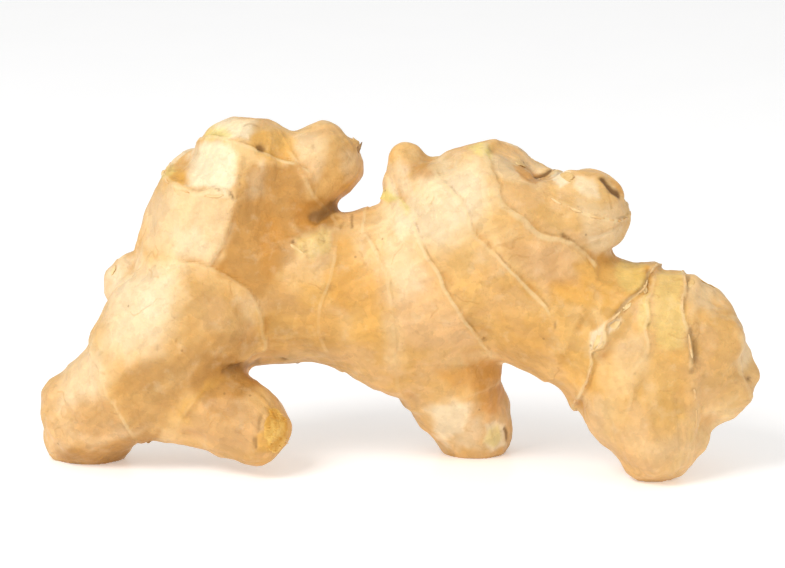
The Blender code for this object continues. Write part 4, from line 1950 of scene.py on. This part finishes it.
FLAKES = (
    Flake(297, 249, 9, 1.6, 38, 0.15),
    Flake(163, 171, 8, 4, -20, 0.5),
    Flake(565, 177, 9, 5, 30, 0.5),
    Flake(598, 340, 3, 10, 20, 0.3),
    Flake(614, 326, 7, 3, -35, 0.3),
    Flake(627, 306, 6, 2.5, -42, 0.3),
    Flake(521, 164, 7, 5, 20, 0.4),
    Flake(645, 289, 2.5, 6, 10, 0.3),
    Flake(356, 140, 4, 3, 30, 0.3),
    Flake(113, 270, 4, 6, 0, 0.3),
    Flake(690, 285, 4, 6, 0, 0.3),
)


@dataclass
class Flakes:
    """The loose flakes of dry skin: on the front where they are seen, scattered on the other sides."""

    surface: Surface
    chance: random.Random
    front: tuple[Flake, ...] = FLAKES
    scattered: int = 34
    sides: int = 22
    rings: int = 4
    thickness: float = 0.13
    half_lengths: Span = (0.8, 2.4)
    slimness: Span = (0.4, 0.8)
    curls: Span = (0.15, 0.4)

    def sheet(
        self, place: Vector, normal: Vector, across: float, down: float, tilt: float, curl: float
    ) -> Piece:
        """One flake.

        Args:
            place: Its middle on the skin, in millimetres.
            normal: The skin's normal there.
            across: Half its length in millimetres.
            down: Half its width.
            tilt: How far it is turned on the skin, in degrees.
            curl: How far its free edge stands off the skin.

        Returns:
            The flake as an object.
        """
        grid = bpy.ops.mesh.primitive_grid_add
        flake = started(grid, x_subdivisions=self.rings, y_subdivisions=self.sides, size=1)
        first = normal.orthogonal().normalized()
        if abs(normal.z) < 0.9:
            first = Vector((0, 0, 1)).cross(normal).normalized()
        second = normal.cross(first)
        cos, sin = math.cos(math.radians(tilt)), math.sin(math.radians(tilt))
        seed = self.chance.uniform(0, 50)
        free = self.chance.uniform(-math.pi, math.pi)
        points = []
        for side in range(self.sides + 1):
            angle = 2 * math.pi * side / self.sides
            swing = Vector((math.cos(angle) * 1.3, math.sin(angle) * 1.3, seed))
            edge = 1 + 0.42 * noise.noise(swing) + 0.2 * noise.noise(swing * 2.7)
            for ring in range(self.rings + 1):
                out = 0.06 + 0.94 * ring / self.rings
                u, v = across * math.cos(angle) * edge * out, down * math.sin(angle) * edge * out
                spread = first * (u * cos - v * sin) + second * (u * sin + v * cos)
                spot, outward = self.surface.nearest(place + spread)
                rise = 0.04 + curl * out**2.5 * max(0.0, math.cos(angle - free)) ** 1.5
                sink = 0.16 * out**3 * max(0.0, -math.cos(angle - free))
                points.append(spot + outward * (rise - sink))
        move_points(flake, np.array(points))
        merge_doubles(flake, 0.01)
        self.close_middle(flake)
        thicken(flake, self.thickness)
        return flake

    def close_middle(self, flake: Piece) -> None:
        """Fills the small hole that the grid leaves in the middle of a flake.

        Args:
            flake: The flake, before it has its thickness.
        """
        build = bmesh.new()
        build.from_mesh(flake.data)
        middle = sum((vert.co for vert in build.verts), Vector()) / len(build.verts)
        near = 0.25 * max((vert.co - middle).length for vert in build.verts)
        inner = [
            edge
            for edge in build.edges
            if edge.is_boundary and (edge.verts[0].co - middle).length < near
        ]
        bmesh.ops.holes_fill(build, edges=inner, sides=0)
        bmesh.ops.triangulate(build, faces=[face for face in build.faces if len(face.verts) > 4])
        build.to_mesh(flake.data)
        build.free()

    def build(self, finish: PlainDryFinish) -> Piece:
        """Lays every flake on the skin.

        Args:
            finish: What it is made of.

        Returns:
            The piece.
        """
        pixel = self.surface.view.distance / self.surface.view.focal_length / MM
        sheets = []
        for flake in self.front:
            place, normal = self.surface.seen_at(flake.column, flake.row)
            across, down = flake.across * pixel, flake.down * pixel
            sheets.append(self.sheet(place, normal, across, down, -flake.tilt, flake.curl))
        low, high = (np.array(corner) / MM for corner in CAD_BOX)
        while len(sheets) < len(self.front) + self.scattered:
            guess = Vector([self.chance.uniform(a, b) for a, b in zip(low, high)])
            place, normal = self.surface.nearest(guess)
            if normal.y < 0.15 or place.z < 3:
                continue
            across = self.chance.uniform(*self.half_lengths)
            down = across * self.chance.uniform(*self.slimness)
            tilt, curl = self.chance.uniform(0, 180), self.chance.uniform(*self.curls)
            sheets.append(self.sheet(place, normal, across, down, tilt, curl))
        piece = joined(sheets, "dry_flakes")
        dress(piece, finish.material())
        return piece


@dataclass(frozen=True)
class Spike:
    """A dry pointed bud tip: its foot in the main view, the way it points, its size and bend in mm."""

    name: str
    column: float
    row: float
    way: Place
    length: float
    radius: float
    bend: float = 0.3


BUD_TIPS = (Spike("thorn", 358, 150, (0.62, -0.05, 0.8), 1.9, 0.55, 0.4),)


@dataclass
class BudTips:
    """The dry pointed tips of the buds."""

    surface: Surface
    spikes: tuple[Spike, ...] = BUD_TIPS
    sides: int = 18
    bulge: float = 0.35
    ridges: int = 5
    ridge: float = 0.10
    blunt: float = 0.12

    def tip(self, spike: Spike) -> Piece:
        """One tip: a cone with a swelling, ridged and bent body, its foot set in the skin.

        Args:
            spike: The tip's place and sizes.

        Returns:
            The tip.
        """
        place, _ = self.surface.seen_at(spike.column, spike.row)
        way = Vector(spike.way).normalized()
        height = spike.length * 1.5
        foot, point = spike.radius * MM, spike.radius * self.blunt * MM
        cone = started(
            bpy.ops.mesh.primitive_cone_add,
            vertices=self.sides,
            radius1=foot,
            radius2=point,
            depth=height * MM,
        )
        with edit_mode():
            bpy.ops.mesh.subdivide(number_cuts=3, smoothness=0.0)
        points = points_of(cone)
        share = points[:, 2] / height + 0.5
        turn = np.arctan2(points[:, 1], points[:, 0])
        ridged = self.ridge * np.cos(self.ridges * turn + 2.0 * share)
        swell = 1 + self.bulge * np.sin(np.pi * share) + ridged
        points[:, :2] *= swell[:, None]
        points[:, 0] += spike.bend * share**2 * spike.length * 0.5
        rotation = way.to_track_quat("Z", "X").to_matrix()
        start = place + way * spike.length * 0.25
        points = np.array([start + rotation @ Vector(point) for point in points])
        move_points(cone, points)
        cone.data.shade_smooth()
        cone.name = cone.data.name = spike.name
        return cone

    def build(self, finish: PlainDryFinish) -> None:
        """Sets every tip on the skin, in its finish."""
        for spike in self.spikes:
            dress(self.tip(spike), finish.material())


@dataclass
class TornEnd:
    """The broken end of the left stub: a rough disc of bare flesh with short torn fibres."""

    surface: Surface
    chance: random.Random
    column: float = 276
    row: float = 430
    radius: float = 5.2
    rings: int = 12
    sides: int = 44
    fibres: int = 46
    turned: Place = (1.2, 0, -0.1)
    proud: float = 0.28
    sunk: float = 0.1
    thickness: float = 0.3
    fibre_foot: float = 0.13
    fibre_point: float = 0.03
    fibre_lengths: Span = (0.5, 1.2)

    def face(self) -> tuple[Vector, Vector, Vector]:
        """Where the torn face lies.

        Returns:
            Its middle on the skin, and two directions across it.
        """
        place, normal = self.surface.seen_at(self.column, self.row)
        normal = (normal + Vector(self.turned)).normalized()
        first = Vector((0, 0, 1)).cross(normal).normalized()
        return place, first, normal.cross(first)

    def disc(self) -> Piece:
        """The rough face, laid a little proud of the skin and sunk at its edge.

        Returns:
            The face.
        """
        place, first, second = self.face()
        grid = bpy.ops.mesh.primitive_grid_add
        disc = started(grid, x_subdivisions=self.rings, y_subdivisions=self.sides, size=1)
        points = []
        for side in range(self.sides + 1):
            angle = 2 * math.pi * (side % self.sides) / self.sides
            swing = Vector((math.cos(angle) * 2, math.sin(angle) * 2, 4.2))
            edge = self.radius * (1 + 0.16 * noise.noise(swing))
            for ring in range(self.rings + 1):
                out = ring / self.rings
                spread = (first * math.cos(angle) + second * math.sin(angle)) * edge * out
                spot, outward = self.surface.nearest(place + spread)
                rough = 0.24 * noise.noise(spot * 0.8) + 0.14 * noise.noise(spot * 2.2)
                rise = (self.proud + rough) * (1 - out**5) - self.sunk * out**5
                points.append(spot + outward * rise)
        move_points(disc, np.array(points))
        merge_doubles(disc, 0.005)
        thicken(disc, self.thickness)
        return disc

    def fibre(self) -> Piece:
        """One torn fibre, a thin cone that stands out of the flesh.

        Returns:
            The fibre.
        """
        place, first, second = self.face()
        angle = self.chance.uniform(0, 2 * math.pi)
        out = self.radius * math.sqrt(self.chance.uniform(0.0, 0.8))
        spread = first * out * math.cos(angle), second * out * math.sin(angle)
        spot, outward = self.surface.nearest(place + spread[0] + spread[1])
        lean = Vector([self.chance.uniform(-0.7, 0.7) for _ in range(3)])
        way = (outward + Vector((0.5, 0, -0.25)) + lean).normalized()
        length = self.chance.uniform(*self.fibre_lengths)
        return started(
            bpy.ops.mesh.primitive_cone_add,
            vertices=6,
            radius1=self.fibre_foot * MM,
            radius2=self.fibre_point * MM,
            depth=length * MM,
            location=(spot + outward * 0.2 + way * length * 0.3) * MM,
            rotation=way.to_track_quat("Z", "Y").to_euler(),
        )

    def build(self, finish: PlainDryFinish) -> Piece:
        """Makes the face and its fibres, as one piece.

        Args:
            finish: What it is made of.

        Returns:
            The piece.
        """
        fibres = [self.fibre() for _ in range(self.fibres)]
        pick(fibres[0])
        piece = joined([self.disc()] + fibres, "torn_end")
        pick(piece)
        bpy.ops.object.transform_apply(location=True, rotation=True, scale=True)
        dress(piece, finish.material())
        return piece


@dataclass
class RootScars:
    """Small round scars where thin roots broke off, on the underside and the back."""

    surface: Surface
    chance: random.Random
    count: int = 16
    sides: int = 20
    radii: Span = (0.45, 0.8)
    height: float = 0.6
    seat: float = 0.12
    rim: float = 0.05
    dish: float = 0.16
    shake: float = 0.12

    def scar(self, place: Vector, normal: Vector, radius: float) -> Piece:
        """One scar: a low disc with a raised rim and a dished middle.

        Args:
            place: Its middle, in millimetres.
            normal: The skin's normal there.
            radius: Its radius, in millimetres.

        Returns:
            The scar.
        """
        disc = started(
            bpy.ops.mesh.primitive_cylinder_add,
            vertices=self.sides,
            radius=radius * MM,
            depth=self.height * MM,
            location=place * MM,
            rotation=normal.to_track_quat("Z", "Y").to_euler(),
        )
        bpy.ops.object.transform_apply(location=True, rotation=True, scale=True)
        with edit_mode("DESELECT"):
            bpy.ops.mesh.select_mode(type="FACE")
        for face in disc.data.polygons:
            face.select = face.normal.dot(normal) > 0.9
        with edit_mode(""):
            bpy.ops.mesh.inset(thickness=radius * 0.3 * MM, depth=self.rim * MM)
            bpy.ops.mesh.inset(thickness=radius * 0.25 * MM, depth=-self.dish * MM)
            bpy.ops.mesh.select_all(action="SELECT")
            bpy.ops.mesh.bevel(offset=self.rim * MM, segments=2)
        points = points_of(disc)
        uneven = np.array([noise.noise_vector(Vector(point) * 0.9) for point in points])
        move_points(disc, points + self.shake * uneven)
        disc.data.shade_smooth()
        return disc

    def build(self, finish: PlainDryFinish) -> Piece:
        """Scatters the scars over the lower and rear skin.

        Args:
            finish: What it is made of.

        Returns:
            The piece.
        """
        low, high = (np.array(corner) / MM for corner in CAD_BOX)
        discs = []
        while len(discs) < self.count:
            guess = Vector([self.chance.uniform(a, b) for a, b in zip(low, high)])
            place, normal = self.surface.nearest(guess)
            if place.z < 4 or normal.y < 0.15 or (normal.z > -0.85 and normal.y < 0.4):
                continue
            radius = self.chance.uniform(*self.radii)
            discs.append(self.scar(place - normal * self.seat, normal, radius))
        piece = joined(discs, "root_scars")
        dress(piece, finish.material())
        return piece


# The studio


@dataclass(frozen=True)
class Softbox:
    """A square studio light, aimed at the root."""

    name: str
    place: Place
    side: float
    watts: float
    colour: Colour = (1.0, 1.0, 1.0)

    def build(self, target: Vector) -> None:
        """Hangs the light at its place.

        Args:
            target: The place that it is aimed at, in metres.
        """
        data = bpy.data.lights.new(self.name, "AREA")
        data.shape = "SQUARE"
        data.size, data.energy, data.color = self.side, self.watts, self.colour
        light = bpy.data.objects.new(self.name, data)
        light.location = self.place
        light.rotation_euler = (target - Vector(self.place)).to_track_quat("-Z", "Y").to_euler()
        bpy.context.scene.collection.objects.link(light)


@dataclass
class Studio:
    """A white table under soft light, against a white surround."""

    table_side: float = 6.0
    table_colour: Colour = (0.92, 0.92, 0.92)
    table_glow: float = 0.25
    table_gloss: float = 0.35
    table_sheen: float = 0.3
    table_grain: float = 40.0
    surround: float = 0.66
    lights: tuple[Softbox, ...] = field(
        default_factory=lambda: (
            Softbox("key", (-0.45, -0.46, 0.66), 0.40, 5.2),
            Softbox("fill", (0.6, -0.6, 0.35), 0.6, 1.4, (1.0, 0.9, 0.75)),
        )
    )

    def table(self) -> None:
        """Lays the table top, with a fine even grain."""
        plane = bpy.ops.mesh.primitive_plane_add
        top = started(plane, size=self.table_side, location=(0, 0, 0))
        top.name = "studio_table"
        material, wiring, shader = new_material("white_table")
        tone = wiring.noise(self.table_grain, detail=2.0)
        pale = tuple(channel * 0.985 for channel in self.table_colour)
        colour = wiring.ramp(tone, [(0.3, pale), (0.7, self.table_colour)])
        wiring.feed(shader.inputs["Base Color"], colour)
        shader.inputs["Roughness"].default_value = self.table_gloss
        shader.inputs["Specular IOR Level"].default_value = self.table_sheen
        shader.inputs["Emission Color"].default_value = (1.0, 1.0, 1.0, 1.0)
        shader.inputs["Emission Strength"].default_value = self.table_glow
        top.data.materials.append(material)

    def build(self, view: MainView) -> None:
        """Sets up the table, the surround and the lights.

        Args:
            view: The main view, whose target the lights are aimed at.
        """
        self.table()
        world = bpy.data.worlds.new("white_surround")
        world.use_nodes = True
        background = world.node_tree.nodes["Background"]
        background.inputs["Color"].default_value = (1.0, 1.0, 1.0, 1.0)
        background.inputs["Strength"].default_value = self.surround
        scene = bpy.context.scene
        scene.world = world
        scene.view_settings.view_transform = "Standard"
        for light in self.lights:
            light.build(Vector(view.target))


def main() -> None:
    """Builds the root and its studio in order."""
    logging.basicConfig(level=logging.INFO, format="%(name)s: %(message)s")
    view = MainView()
    view.build()
    Studio().build(view)
    skin = Skin(view)
    skin.build()
    chance = random.Random(29)
    for ring in RINGS:
        if ring.name in SCALY_RINGS:
            RimScales(LaidRing.on(ring, skin.plain), skin.surface, chance).build(SCALE)
    Flakes(skin.surface, chance).build(PAPERY)
    BudTips(skin.surface).build(BUD)
    TornEnd(skin.surface, chance).build(FLESH)
    RootScars(skin.surface, chance).build(BUD)


if __name__ == "__main__":
    main()
